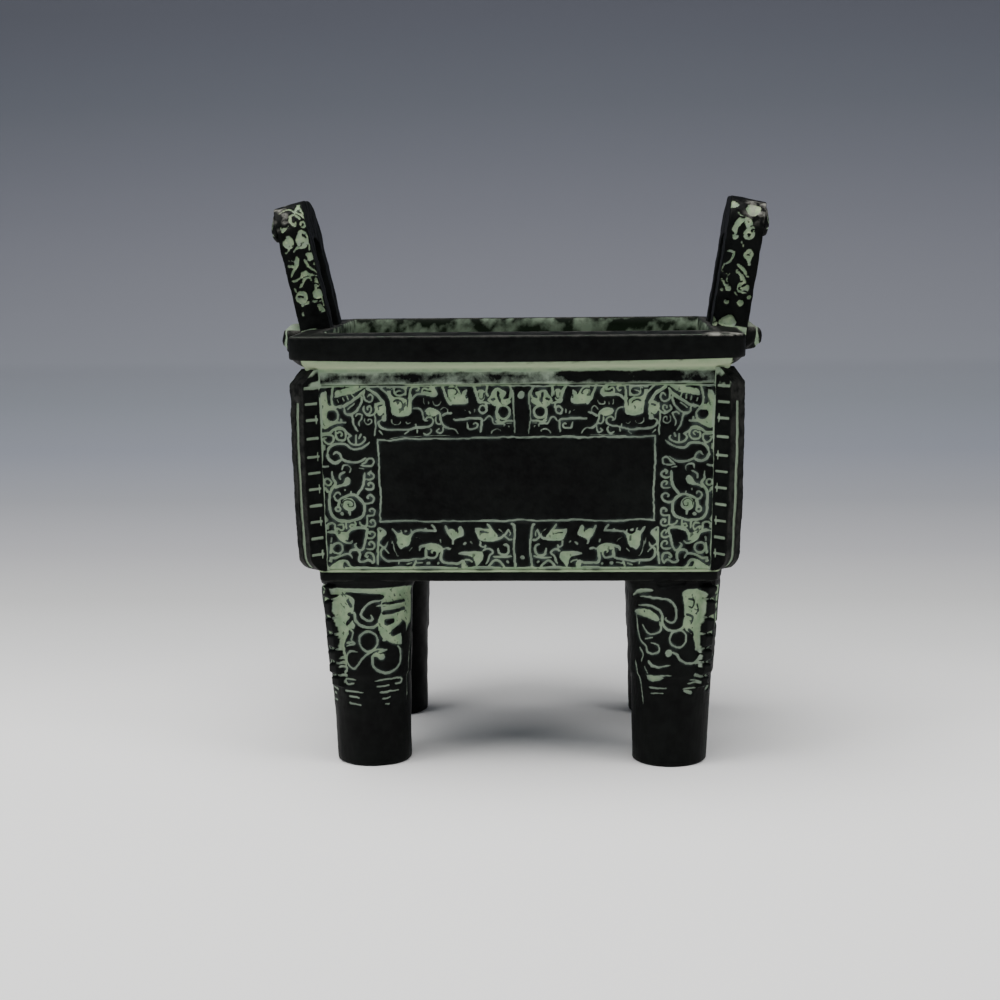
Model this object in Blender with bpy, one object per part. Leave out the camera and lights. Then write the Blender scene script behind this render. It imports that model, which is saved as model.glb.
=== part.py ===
"""Square bronze ding: a small cast copy of an ancient four-legged food vessel.

The whole vessel is one casting: a hollow box with a thick rim, two handles that
lean outward, four diagonal corner flanges and four round legs.  Metres, +Z up,
origin under the middle of the four feet, front wall towards -Y.
"""
import math

import bmesh
import bpy
from mathutils import Matrix, Vector, geometry

# Rim
RIM_LENGTH = 0.110
RIM_DEPTH = 0.086
RIM_TOP = 0.1082
RIM_FACE = 0.0056
RIM_TOP_RISE = 0.0006
RIM_CORNER = 0.0035
RIM_EDGE = 0.0004

# Vessel box
WALL = 0.0035
FLOOR = 0.0040
BODY_INSET_TOP = 0.0040
BODY_INSET_FOOT = 0.0050
BODY_CORNER = 0.0016
BODY_FOOT_Z = 0.0479
BASE_BAND = 0.0030
NECK_HEIGHT = 0.0044
RIM_SLOPE_HEIGHT = 0.0020
NECK_PROUD = 0.0004

# Raised carving
RELIEF = 0.00055
RIDGE_RELIEF = 0.0011
EMBED = 0.0006

# Plain panel in the middle of each wall
PANEL_TOP_GAP = 0.0134
PANEL_FOOT_GAP = 0.0120
PANEL_SIDE_GAP = 0.0180
PANEL_GROOVE = 0.0007
COLUMN_WIDTH = 0.0106
COLUMN_GAP = 0.0006
RIDGE_WIDTH = 0.0032

# Corner flanges
FLANGE_THICKNESS = 0.0052
FLANGE_REACH = 0.0033
FLANGE_FOOT_GAP = -0.0003
FLANGE_TOP_GAP = 0.0004
FLANGE_SLANT = 0.0034
FLANGE_GROOVE = 0.0010
FLANGE_GROOVE_CUT = 0.0008
FLANGE_MARKS = 3
FLANGE_MARK = 0.0009
FLANGE_MARK_CUT = 0.0005

# Legs
LEG_INSET = 0.0166
LEG_FOOT_RADIUS = 0.0090
LEG_TOP_RADIUS = 0.0114
LEG_FLARE = 0.0006
LEG_LEAN = 0.0010
LEG_SWELL = 1.3
LEG_SIDES = 16
LEG_EDGE = 0.0006
LEG_FLANGE_WIDTH = 0.0032
LEG_FLANGE_REACH = 0.0018
LEG_FLANGE_FOOT = 0.0200
LEG_FLANGE_MARKS = 5

# Handles
HANDLE_HEIGHT = 0.0328
HANDLE_WIDTH = 0.0252
HANDLE_THICKNESS_LEFT = 0.0078
HANDLE_THICKNESS_RIGHT = 0.0091
HANDLE_BAR = 0.0076
HANDLE_CORNER = 0.0075
HANDLE_INSET_LEFT = 0.0029
HANDLE_INSET_RIGHT = 0.0020
HANDLE_LEAN_LEFT = math.radians(12.5)
HANDLE_LEAN_RIGHT = math.radians(9.0)
HANDLE_ROOT = 0.0016
HANDLE_SHOULDER = 0.0026
HEAD_BOSS = 0.0040
RIM_BOSS = 0.0034
BOSS_TURN = math.radians(17.0)

MERGE = 0.000001
TAU = 2.0 * math.pi

BODY_HALF_X = RIM_LENGTH / 2 - BODY_INSET_TOP
BODY_HALF_Y = RIM_DEPTH / 2 - BODY_INSET_TOP
RIM_FOOT_Z = RIM_TOP - RIM_FACE
NECK_TOP_Z = RIM_FOOT_Z - RIM_SLOPE_HEIGHT
FIELD_TOP_Z = NECK_TOP_Z - NECK_HEIGHT
FIELD_FOOT_Z = BODY_FOOT_Z + BASE_BAND
TAPER = (BODY_INSET_FOOT - BODY_INSET_TOP) / (FIELD_TOP_Z - FIELD_FOOT_Z)


def clear_scene():
    for obj in list(bpy.data.objects):
        bpy.data.objects.remove(obj, do_unlink=True)


def new_collection(name):
    collection = bpy.data.collections.new(name)
    bpy.context.scene.collection.children.link(collection)
    return collection


def bronze_material():
    material = bpy.data.materials.new("dark_bronze_green_ground")
    material.use_nodes = True
    shader = material.node_tree.nodes["Principled BSDF"]
    shader.inputs["Base Color"].default_value = (0.030, 0.042, 0.032, 1.0)
    shader.inputs["Metallic"].default_value = 0.6
    shader.inputs["Roughness"].default_value = 0.45
    return material


def object_from(bm, name, collection):
    """Turn a bmesh of closed bodies into an object with outward faces."""
    bmesh.ops.recalc_face_normals(bm, faces=bm.faces)
    mesh = bpy.data.meshes.new(name)
    bm.to_mesh(mesh)
    bm.free()
    obj = bpy.data.objects.new(name, mesh)
    collection.objects.link(obj)
    return obj


def inset(z):
    """How far the wall lies inside its top line at height z."""
    return max(0.0, FIELD_TOP_Z - z) * TAPER


def rounded_rectangle(half_x, half_y, corner, z, steps=2):
    """Corners first: points around a rectangle with round corners."""
    points = []
    for index, (sx, sy) in enumerate(((1, 1), (-1, 1), (-1, -1), (1, -1))):
        for step in range(steps + 1):
            turn = TAU / 4 * (index + step / steps)
            x = sx * (half_x - corner) + corner * math.cos(turn)
            y = sy * (half_y - corner) + corner * math.sin(turn)
            points.append((x, y, z))
    return points


def loft(rings, name, collection, skip=(), patches=()):
    """Close a stack of equal rings into one body; patches fill skipped faces."""
    bm = bmesh.new()
    loops = [[bm.verts.new(point) for point in ring] for ring in rings]
    count = len(loops[0])
    for level, (lower, upper) in enumerate(zip(loops, loops[1:])):
        for i in range(count):
            if (level, i) in skip:
                continue
            j = (i + 1) % count
            bm.faces.new((lower[i], lower[j], upper[j], upper[i]))
    bm.faces.new(loops[0])
    bm.faces.new(loops[-1])
    for patch in patches:
        patch(bm)
    bmesh.ops.remove_doubles(bm, verts=bm.verts, dist=MERGE)
    return object_from(bm, name, collection)


def vessel_box(collection):
    """Outer wall up to the rim, over its top and down the hollow inside."""
    def ring(out, corner, z):
        return rounded_rectangle(BODY_HALF_X + out, BODY_HALF_Y + out, corner, z)

    foot = -inset(FIELD_FOOT_Z)
    band = foot + NECK_PROUD
    rim = BODY_INSET_TOP
    rings = [
        ring(band - RIM_EDGE, BODY_CORNER, BODY_FOOT_Z),
        ring(band, BODY_CORNER, BODY_FOOT_Z + RIM_EDGE),
        ring(band, BODY_CORNER, FIELD_FOOT_Z - NECK_PROUD),
        ring(foot, BODY_CORNER, FIELD_FOOT_Z),
        ring(0.0, BODY_CORNER, FIELD_TOP_Z),
        ring(NECK_PROUD, BODY_CORNER, FIELD_TOP_Z + NECK_PROUD),
        ring(NECK_PROUD, BODY_CORNER, NECK_TOP_Z),
        ring(rim - RIM_EDGE, RIM_CORNER, RIM_FOOT_Z),
        ring(rim, RIM_CORNER, RIM_FOOT_Z + RIM_EDGE),
        ring(rim, RIM_CORNER, RIM_TOP - RIM_EDGE),
        ring(rim - RIM_EDGE, RIM_CORNER, RIM_TOP),
        ring(-WALL, BODY_CORNER, RIM_TOP + RIM_TOP_RISE),
        ring(foot - WALL, BODY_CORNER, BODY_FOOT_Z + FLOOR),
    ]
    field_level = 3
    flat_sides = {(field_level, 3 * side + 2) for side in range(4)}
    patches = [wall_patch(index) for index in range(4)]
    return loft(rings, "bronze_ding", collection, flat_sides, patches)


def smooth_path(points, count):
    """Catmull-Rom curve through the points, as count + 1 points."""
    if len(points) == 2:
        return [tuple(points[0][k] + (points[1][k] - points[0][k]) * i / count
                      for k in (0, 1)) for i in range(count + 1)]
    ends = [points[0]] + list(points) + [points[-1]]
    spans = len(points) - 1
    path = []
    for i in range(count + 1):
        at = min(i * spans / count, spans - 1e-9)
        k = int(at)
        t = at - k
        p0, p1, p2, p3 = ends[k:k + 4]
        path.append(tuple(
            0.5 * (2 * b + (c - a) * t + (2 * a - 5 * b + 4 * c - d) * t * t
                   + (3 * b - a - 3 * c + d) * t ** 3)
            for a, b, c, d in zip(p0, p1, p2, p3)))
    return path


def spiral_path(centre, outer, inner, start, turns, count):
    """Points along a spiral from its outer end inwards; angles in turns."""
    path = []
    for i in range(count + 1):
        t = i / count
        radius = outer + (inner - outer) * t
        angle = TAU * (start + turns * t)
        path.append((centre[0] + radius * math.cos(angle),
                     centre[1] + radius * math.sin(angle)))
    return path


def ribbon_quads(path, start_width, end_width):
    """A band along a flat path as a row of quads, narrower at both ends."""
    count = len(path)
    sides = []
    for i, (u, v) in enumerate(path):
        before = path[max(i - 1, 0)]
        after = path[min(i + 1, count - 1)]
        du, dv = after[0] - before[0], after[1] - before[1]
        length = math.hypot(du, dv)
        share = math.sin(math.pi * (0.15 + 0.70 * i / (count - 1)))
        half = (start_width + (end_width - start_width) * i / (count - 1)) * share / 2
        nu, nv = -dv / length * half, du / length * half
        sides.append(((u + nu, v + nv), (u - nu, v - nv)))
    return [(a, b, d, c) for (a, b), (c, d) in zip(sides, sides[1:])]


def add_ribbon(bm, path, start_width, end_width, place, height=RELIEF):
    """A raised band as its own closed body; place maps (u, v, out)."""
    quads = ribbon_quads(path, start_width, end_width)
    sides = [(quad[0], quad[1]) for quad in quads] + [(quads[-1][3], quads[-1][2])]
    top, foot = ([[bm.verts.new(place(u, v, out)) for u, v in pair] for pair in sides]
                 for out in (height, -EMBED))
    for i in range(len(quads)):
        j = i + 1
        bm.faces.new((top[i][0], top[j][0], top[j][1], top[i][1]))
        bm.faces.new((foot[i][0], foot[i][1], foot[j][1], foot[j][0]))
        bm.faces.new((top[i][0], foot[i][0], foot[j][0], top[j][0]))
        bm.faces.new((top[i][1], top[j][1], foot[j][1], foot[i][1]))
    for i in (0, len(quads)):
        bm.faces.new((top[i][0], top[i][1], foot[i][1], foot[i][0]))


def add_plate(bm, outline, place, height=RELIEF):
    """A raised flat shape with the given outline."""
    top = [bm.verts.new(place(u, v, height)) for u, v in outline]
    foot = [bm.verts.new(place(u, v, -EMBED)) for u, v in outline]
    bm.faces.new(top)
    bm.faces.new(list(reversed(foot)))
    count = len(outline)
    for i in range(count):
        j = (i + 1) % count
        bm.faces.new((top[i], foot[i], foot[j], top[j]))


def circle_outline(centre, radius, sides=6):
    return [(centre[0] + radius * math.cos(TAU * i / sides),
             centre[1] + radius * math.sin(TAU * i / sides)) for i in range(sides)]


def box_outline(left, right, low, high):
    return [(left, low), (right, low), (right, high), (left, high)]


# A dragon in profile, in shares of its band: 0, 0 is the tail's lower corner and
# 1, 1 the upper corner beside the middle ridge.  Widths are shares of the height.
DRAGON_STROKES = (
    (((0.03, 0.93), (0.12, 0.84), (0.18, 0.46)), 0.22, 0.17, 2),
    (((0.165, 0.27), (0.31, 0.26), (0.46, 0.31)), 0.22, 0.19, 2),
    (((0.485, 0.95), (0.53, 0.72), (0.61, 0.55), (0.81, 0.50)), 0.24, 0.21, 3),
    (((0.665, 0.95), (0.775, 0.72)), 0.21, 0.19, 1),
)
DRAGON_FRONT_STROKES = (
    (((0.58, 0.27), (0.73, 0.26), (0.83, 0.10)), 0.19, 0.15, 2),
    (((0.32, 0.55), (0.39, 0.68), (0.455, 0.60)), 0.18, 0.20, 2),
    (((0.85, 0.31), (0.925, 0.30), (0.965, 0.13)), 0.15, 0.13, 2),
)
DRAGON_EYE = (0.915, 0.54, 0.125)
DRAGON_HORN = (0.905, 0.83, 0.115)
DRAGON_SPIRALS = ((0.265, 0.79, 0.125), (0.60, 0.81, 0.10))
DRAGON_TEETH = 3


def dragon_shapes(near, far, low, high, full):
    """One dragon between u = far (tail) and u = near (beside the ridge)."""
    length, height = near - far, high - low
    hand = 1 if length > 0 else -1
    shapes = []

    def at(point):
        return far + length * point[0], low + height * point[1]

    strokes = DRAGON_STROKES + (DRAGON_FRONT_STROKES if full else ())
    for points, start_width, end_width, count in strokes:
        path = smooth_path([at(p) for p in points], count)
        shapes += ribbon_quads(path, start_width * height, end_width * height)
    s, t, radius = DRAGON_EYE
    shapes.append(circle_outline(at((s, t)), radius * height))
    s, t, radius = DRAGON_HORN
    horn = spiral_path(at((s, t)), radius * height, radius * height * 0.9,
                       0.25 + hand * 0.40, -hand * 0.80, 4 if full else 3)
    shapes += ribbon_quads(horn, 0.11 * height, 0.11 * height)
    if full:
        for s, t, radius in DRAGON_SPIRALS:
            path = spiral_path(at((s, t)), radius * height, 0.04 * height, 0.1, hand, 4)
            shapes += ribbon_quads(path, 0.075 * height, 0.06 * height)
        for i in range(DRAGON_TEETH):
            u, v = at((0.19 + 0.075 * i, 0.09))
            size = 0.05 * height
            shapes.append(box_outline(u - size, u + size, v - size, v + size))
    return shapes


# A corner column beside the wall's edge, in shares of its width and height.
COLUMN_STROKES = (
    (((0.08, 0.90), (0.82, 0.92)), 0.18, 0.14, 1),
    (((0.12, 0.60), (0.45, 0.68), (0.64, 0.52)), 0.20, 0.22, 2),
    (((0.66, 0.46), (0.28, 0.36), (0.36, 0.23), (0.62, 0.29)), 0.20, 0.14, 3),
    (((0.12, 0.06), (0.70, 0.05)), 0.17, 0.13, 1),
)
COLUMN_EYES = ((0.30, 0.78, 0.15), (0.36, 0.155, 0.14))
COLUMN_BLOCKS = 4


def column_shapes(outer, inner, low, high, full):
    width, height = inner - outer, high - low
    size = abs(width)
    shapes = []

    def at(point):
        return outer + width * point[0], low + height * point[1]

    for points, start_width, end_width, count in COLUMN_STROKES:
        path = smooth_path([at(p) for p in points], count)
        shapes += ribbon_quads(path, start_width * size, end_width * size)
    for s, t, radius in COLUMN_EYES:
        shapes.append(circle_outline(at((s, t)), radius * size))
    if full:
        for i in range(COLUMN_BLOCKS):
            u, v = at((0.87, 0.20 + 0.13 * i))
            half = 0.095 * size
            shapes.append(box_outline(u - half, u + half, v - half, v + half))
    return shapes


def wall_place(right, normal, half):
    """Map (along the wall, height, outwards) to the tapered wall's surface."""
    def place(u, v, out):
        reach = half - inset(v) + out
        return right[0] * u + normal[0] * reach, right[1] * u + normal[1] * reach, v
    return place


def wall_shapes(half_width, full):
    """Raised shapes of one wall, each with its height above the ground."""
    low, high = FIELD_FOOT_Z, FIELD_TOP_Z
    panel = half_width - PANEL_SIDE_GAP
    panel_low = low + PANEL_FOOT_GAP
    panel_high = high - PANEL_TOP_GAP
    edge = half_width - inset(low) - FLANGE_THICKNESS * 0.5 ** 0.5 - COLUMN_GAP
    column_inner = edge - COLUMN_WIDTH
    gap = PANEL_GROOVE
    shapes = [(box_outline(-panel, panel, panel_low, panel_high), RELIEF)]
    for band_low, band_high in ((panel_high + gap, high - gap), (low + gap, panel_low - gap)):
        ridge = box_outline(-RIDGE_WIDTH / 2, RIDGE_WIDTH / 2, band_low, band_high)
        shapes.append((ridge, RIDGE_RELIEF))
        for hand in (-1, 1):
            near = hand * (RIDGE_WIDTH / 2 + gap)
            far = hand * (column_inner - gap)
            dragon = dragon_shapes(near, far, band_low, band_high, full)
            shapes += [(shape, RELIEF) for shape in dragon]
    for hand in (-1, 1):
        column = column_shapes(hand * edge, hand * column_inner, low + gap, high - gap, full)
        shapes += [(shape, RELIEF) for shape in column]
    return shapes


def wall_patch(index):
    """A wall's carved face, as a function that adds it to the vessel's mesh."""
    right, normal, half, half_width = (
        ((1, 0), (0, -1), BODY_HALF_Y, BODY_HALF_X),
        ((0, 1), (1, 0), BODY_HALF_X, BODY_HALF_Y),
        ((-1, 0), (0, 1), BODY_HALF_Y, BODY_HALF_X),
        ((0, -1), (-1, 0), BODY_HALF_X, BODY_HALF_Y),
    )[index]
    place = wall_place(right, normal, half)
    shapes = wall_shapes(half_width, index == 0)
    top, foot = half_width - BODY_CORNER, half_width - BODY_CORNER - inset(FIELD_FOOT_Z)
    frame = [(-foot, FIELD_FOOT_Z), (foot, FIELD_FOOT_Z), (top, FIELD_TOP_Z), (-top, FIELD_TOP_Z)]

    def add_to(bm):
        points, outlines = list(frame), [[0, 1, 2, 3]]
        for outline, _height in shapes:
            outlines.append(list(range(len(points), len(points) + len(outline))))
            points += outline
        flat = [Vector((u * 1000.0, v * 1000.0)) for u, v in points]
        verts, _edges, faces, _v, _e, sources = geometry.delaunay_2d_cdt(
            flat, [], outlines, 1, 0.0001, True)
        corners = {}

        def corner(i, out):
            if (i, out) not in corners:
                u, v = verts[i] / 1000.0
                corners[i, out] = bm.verts.new(place(u, v, out))
            return corners[i, out]

        sides = {}
        for face, source in zip(faces, sources):
            out = max([shapes[k - 1][1] for k in source if k > 0], default=0.0)
            bm.faces.new([corner(i, out) for i in face])
            for a, b in zip(face, face[1:] + face[:1]):
                sides.setdefault((min(a, b), max(a, b)), []).append(out)
        for (a, b), outs in sides.items():
            if len(outs) == 2 and outs[0] != outs[1]:
                low, high = min(outs), max(outs)
                bm.faces.new((corner(a, low), corner(b, low), corner(b, high), corner(a, high)))
    return add_to


def prism(outline, place, near, far, name, collection):
    """A closed body between two copies of an outline; place maps (a, b, c)."""
    bm = bmesh.new()
    first = [bm.verts.new(place(a, b, near)) for a, b in outline]
    last = [bm.verts.new(place(a, b, far)) for a, b in outline]
    bm.faces.new(first)
    bm.faces.new(list(reversed(last)))
    count = len(outline)
    for i in range(count):
        j = (i + 1) % count
        bm.faces.new((first[i], last[i], last[j], first[j]))
    return object_from(bm, name, collection)


def corner_place(sx, sy):
    """Map (out along the diagonal, height, across) to one body corner."""
    root = 0.5 ** 0.5

    def place(d, z, across):
        x = BODY_HALF_X - inset(z) - BODY_CORNER * 0.3 + d * root - across * root
        y = BODY_HALF_Y - inset(z) - BODY_CORNER * 0.3 + d * root + across * root
        return sx * x, sy * y, z
    return place


def corner_flange(sx, sy, collection):
    """Upright flange on a corner, with a slanted top and a rounded foot."""
    place = corner_place(sx, sy)
    foot = FIELD_FOOT_Z + FLANGE_FOOT_GAP
    top = NECK_TOP_Z - FLANGE_TOP_GAP
    bend = FLANGE_REACH * 0.45
    outline = [(-WALL * 0.8, foot), (FLANGE_REACH - bend, foot)]
    for i in range(1, 4):
        turn = TAU / 4 * i / 3
        outline.append((FLANGE_REACH - bend + bend * math.sin(turn),
                        foot + bend - bend * math.cos(turn)))
    outline += [(FLANGE_REACH, top - FLANGE_SLANT), (FLANGE_REACH * 0.15, top), (-WALL * 0.8, top)]
    half = FLANGE_THICKNESS / 2
    return prism(outline, place, -half, half, f"flange_{sx}_{sy}", collection)


def flange_cutter(sx, sy, collection):
    """The groove down a flange's end and the marks on both its sides."""
    place = corner_place(sx, sy)
    bm = bmesh.new()
    foot = FIELD_FOOT_Z + FLANGE_FOOT_GAP
    top = NECK_TOP_Z - FLANGE_TOP_GAP - FLANGE_SLANT
    length = top - foot
    half = FLANGE_THICKNESS / 2

    def add_box(d0, d1, z0, z1, a0, a1):
        corners = [bm.verts.new(place(d, z, a)) for d in (d0, d1) for z in (z0, z1) for a in (a0, a1)]
        for face in ((0, 1, 3, 2), (4, 6, 7, 5), (0, 4, 5, 1), (2, 3, 7, 6), (0, 2, 6, 4), (1, 5, 7, 3)):
            bm.faces.new([corners[k] for k in face])

    add_box(FLANGE_REACH - FLANGE_GROOVE_CUT, FLANGE_REACH + FLANGE_GROOVE_CUT,
            foot + 0.05 * length, top - 0.12 * length, -FLANGE_GROOVE / 2, FLANGE_GROOVE / 2)
    pitch = (length * 0.86) / (FLANGE_MARKS - 1)
    for i in range(FLANGE_MARKS):
        z = foot + 0.06 * length + pitch * i
        tall = FLANGE_MARK if i % 2 == 0 else FLANGE_MARK * 1.8
        for side in (-1, 1):
            inner, outer = side * (half - FLANGE_MARK_CUT), side * (half + FLANGE_MARK_CUT)
            add_box(FLANGE_REACH * 0.30, FLANGE_REACH * 0.74, z, z + tall, inner, outer)
    return object_from(bm, f"flange_cut_{sx}_{sy}", collection)


def leg_centre(z):
    """Distance of a leg's axis from the rim's edge line, drawn in at the foot."""
    return LEG_INSET + LEG_LEAN * (1.0 - z / BODY_FOOT_Z)


def leg_radius(z):
    share = min(max(z / BODY_FOOT_Z, 0.0), 1.0)
    return LEG_FOOT_RADIUS + (LEG_TOP_RADIUS - LEG_FOOT_RADIUS) * share ** LEG_SWELL


def leg_place(sx, sy):
    """Map (arc from the outer diagonal, height, outwards) to a leg's skin."""
    def place(arc, z, out):
        centre = leg_centre(z)
        turn = arc / LEG_TOP_RADIUS + TAU / 8
        reach = leg_radius(z) + out
        return (sx * (RIM_LENGTH / 2 - centre + reach * math.cos(turn)),
                sy * (RIM_DEPTH / 2 - centre + reach * math.sin(turn)), z)
    return place


def leg(sx, sy, collection):
    place = leg_place(sx, sy)
    step = TAU * LEG_TOP_RADIUS / LEG_SIDES
    top = BODY_FOOT_Z + FLOOR * 0.4
    rows = ((0.0, -LEG_EDGE), (LEG_EDGE, 0.0), (0.45 * BODY_FOOT_Z, 0.0),
            (BODY_FOOT_Z - LEG_FLARE * 3.0, 0.0), (BODY_FOOT_Z, LEG_FLARE), (top, LEG_FLARE))
    rings = [[place(step * i, z, out) for i in range(LEG_SIDES)] for z, out in rows]
    return loft(rings, f"leg_{sx}_{sy}", collection)


# Half of the leg's mask: shares of its half width (from the nose ridge) and height.
MASK_STROKES = (
    (((0.36, 0.96), (0.64, 0.88), (0.44, 0.72)), 0.17, 0.11, 3),
    (((0.82, 0.90), (0.85, 0.50)), 0.16, 0.15, 1),
    (((0.14, 0.25), (0.32, 0.13), (0.58, 0.28), (0.78, 0.18)), 0.17, 0.12, 3),
)
MASK_EYE = (0.47, 0.43, 0.115)
MASK_HALF_WIDTH = 0.0162
MASK_FOOT = 0.0235
MASK_TOP_GAP = 0.0025
STRING_LINES = 2
STRING_PITCH = 0.0026
STRING_WIDTH = 0.0010


def leg_relief(sx, sy, collection):
    """Mask with a notched nose ridge on the outer diagonal, and string lines."""
    place = leg_place(sx, sy)
    bm = bmesh.new()
    height = BODY_FOOT_Z - MASK_TOP_GAP - MASK_FOOT
    for hand in (-1, 1):
        def at(point, hand=hand):
            return hand * MASK_HALF_WIDTH * point[0], MASK_FOOT + height * point[1]
        for points, start_width, end_width, count in MASK_STROKES:
            path = smooth_path([at(p) for p in points], count)
            add_ribbon(bm, path, start_width * MASK_HALF_WIDTH, end_width * MASK_HALF_WIDTH, place)
        eye = circle_outline(at(MASK_EYE[:2]), MASK_EYE[2] * MASK_HALF_WIDTH)
        add_plate(bm, eye, place)
        for i in range(STRING_LINES):
            z = MASK_FOOT - STRING_PITCH * (i + 0.6)
            line = [(hand * MASK_HALF_WIDTH * (0.16 + 0.31 * k), z) for k in range(3)]
            add_ribbon(bm, line, STRING_WIDTH, STRING_WIDTH, place)
    block = (BODY_FOOT_Z - MASK_TOP_GAP - LEG_FLANGE_FOOT) / LEG_FLANGE_MARKS
    for i in range(LEG_FLANGE_MARKS):
        low = LEG_FLANGE_FOOT + block * i
        outline = box_outline(-LEG_FLANGE_WIDTH / 2, LEG_FLANGE_WIDTH / 2, low, low + block * 0.8)
        add_plate(bm, outline, place, LEG_FLANGE_REACH)
    return object_from(bm, f"leg_relief_{sx}_{sy}", collection)


def handle_outline():
    """Inverted U with round shoulders, as (along Y, up) from the rim's top."""
    half, corner = HANDLE_WIDTH / 2, HANDLE_CORNER
    outline = [(half, -HANDLE_ROOT)]
    for index, side in enumerate((1, -1)):
        for i in range(5):
            turn = TAU / 4 * (index + i / 4)
            outline.append((side * (half - corner) + corner * math.cos(turn),
                            HANDLE_HEIGHT - corner + corner * math.sin(turn)))
    outline.append((-half, -HANDLE_ROOT))
    gap, bend = half - HANDLE_BAR, (half - HANDLE_BAR) * 0.9
    outline.append((-gap, -HANDLE_ROOT))
    for index, side in enumerate((-1, 1)):
        for i in range(4):
            turn = TAU / 4 * (2 - index - i / 3)
            outline.append((side * (gap - bend) + bend * math.cos(turn),
                            HANDLE_HEIGHT - HANDLE_BAR * 1.25 - bend + bend * math.sin(turn)))
    outline.append((gap, -HANDLE_ROOT))
    return outline


def handle_place(side):
    """Map (along Y, up the handle, outwards) with the handle's lean."""
    lean = HANDLE_LEAN_RIGHT if side > 0 else HANDLE_LEAN_LEFT
    foot = RIM_LENGTH / 2 - (HANDLE_INSET_RIGHT if side > 0 else HANDLE_INSET_LEFT)

    def place(y, up, out):
        x = foot + up * math.sin(lean) + out * math.cos(lean)
        return side * x, y, RIM_TOP + up * math.cos(lean) - out * math.sin(lean)
    return place


def handle_half(side):
    return (HANDLE_THICKNESS_RIGHT if side > 0 else HANDLE_THICKNESS_LEFT) / 2


def handle(side, collection):
    """The leaning loop, its top falling away towards the outer face."""
    half = handle_half(side)
    place = handle_place(side)

    def sloped(y, up, out):
        fall = max(0.0, up - HANDLE_HEIGHT + 2.0 * HANDLE_SHOULDER) / 2.0
        return place(y, up - fall if out > 0.0 else up, out)
    return prism(handle_outline(), sloped, -half, half, f"handle_{side}", collection)


def handle_relief(side, collection):
    """Arches and drops on the handle's narrow edges, a scroll band outside."""
    place = handle_place(side)
    half = handle_half(side)
    bm = bmesh.new()
    for end in (-1, 1):
        def edge_place(u, v, out, end=end):
            return place(end * (HANDLE_WIDTH / 2 + out), v, u)
        for level in range(2):
            base = HANDLE_HEIGHT * (0.16 + 0.32 * level)
            arch = [(half * 0.72 * math.cos(TAU / 2 * i / 4),
                     base + HANDLE_HEIGHT * (0.06 + 0.15 * math.sin(TAU / 2 * i / 4)))
                    for i in range(5)]
            add_ribbon(bm, arch, half * 0.40, half * 0.40, edge_place)
            nose = [(0.0, base - HANDLE_HEIGHT * 0.05), (0.0, base + HANDLE_HEIGHT * 0.10)]
            add_ribbon(bm, nose, half * 0.60, half * 0.60, edge_place)

    def face_place(u, v, out):
        return place(u, v, half + out)
    middle = HANDLE_WIDTH / 2 - HANDLE_BAR / 2
    for hand in (-1, 1):
        band = [(hand * middle, HANDLE_HEIGHT * 0.04), (hand * middle, HANDLE_HEIGHT * 0.35),
                (hand * middle * 0.98, HANDLE_HEIGHT * 0.62), (hand * middle * 0.55, HANDLE_HEIGHT * 0.86)]
        add_ribbon(bm, smooth_path(band, 3), HANDLE_BAR * 0.55, HANDLE_BAR * 0.42, face_place, RELIEF * 1.4)
    return object_from(bm, f"handle_relief_{side}", collection)


def boss(centre, radii, name, collection):
    """A rounded knob, half sunk in what carries it."""
    bm = bmesh.new()
    bmesh.ops.create_uvsphere(bm, u_segments=8, v_segments=4, radius=1.0)
    bmesh.ops.rotate(bm, verts=bm.verts, matrix=Matrix.Rotation(BOSS_TURN, 3, "Z"))
    for vert in bm.verts:
        vert.co = Vector(centre) + Vector(c * r for c, r in zip(vert.co, radii))
    return object_from(bm, name, collection)


def handle_bosses(side, collection):
    """Animal-head knobs at the handle's upper corners and at its feet."""
    place = handle_place(side)
    middle = HANDLE_WIDTH / 2 - HANDLE_BAR / 2
    bosses = []
    for end in (-1, 1):
        head = place(end * (middle - HANDLE_BAR * 0.1), HANDLE_HEIGHT * 0.82, handle_half(side))
        bosses.append(boss(head, (HEAD_BOSS * 0.45, HEAD_BOSS * 0.9, HEAD_BOSS),
                           f"head_boss_{side}_{end}", collection))
        foot = (side * (RIM_LENGTH / 2 + RIM_BOSS * 0.41), end * middle * 1.02, RIM_TOP - RIM_FACE * 0.44)
        bosses.append(boss(foot, (RIM_BOSS, RIM_BOSS, RIM_BOSS * 1.32),
                           f"rim_boss_{side}_{end}", collection))
    return bosses


def combine(target, tool, operation):
    modifier = target.modifiers.new(f"{operation.lower()}_{tool.name}", "BOOLEAN")
    modifier.operation = operation
    modifier.object = tool
    tool.hide_render = True
    tool.display_type = "WIRE"


def build():
    clear_scene()
    parts = new_collection("square_bronze_ding")
    tools = new_collection("shaping_tools")
    ding = vessel_box(parts)
    for sx in (-1, 1):
        for sy in (-1, 1):
            combine(ding, leg(sx, sy, tools), "UNION")
            combine(ding, corner_flange(sx, sy, tools), "UNION")
            combine(ding, flange_cutter(sx, sy, tools), "DIFFERENCE")
            combine(ding, leg_relief(sx, sy, tools), "UNION")
    for side in (-1, 1):
        combine(ding, handle(side, tools), "UNION")
        combine(ding, handle_relief(side, tools), "UNION")
        for knob in handle_bosses(side, tools):
            combine(ding, knob, "UNION")
    ding.data.materials.append(bronze_material())


build()
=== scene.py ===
"""Looks of the square bronze ding: fine relief meshes, patina, studio and camera.

Lengths are in millimetres; a mesh is scaled to metres when it is made.  Every
piece is part of the one casting, rides on the root body and stands for the
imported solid.  A relief is a height field over a surface that starts at the raised
metal: tables of lines and outlines in millimetres carve the grooves and pools.
"""
import math

import bpy
import numpy as np
from mathutils import Matrix, Vector


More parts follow.
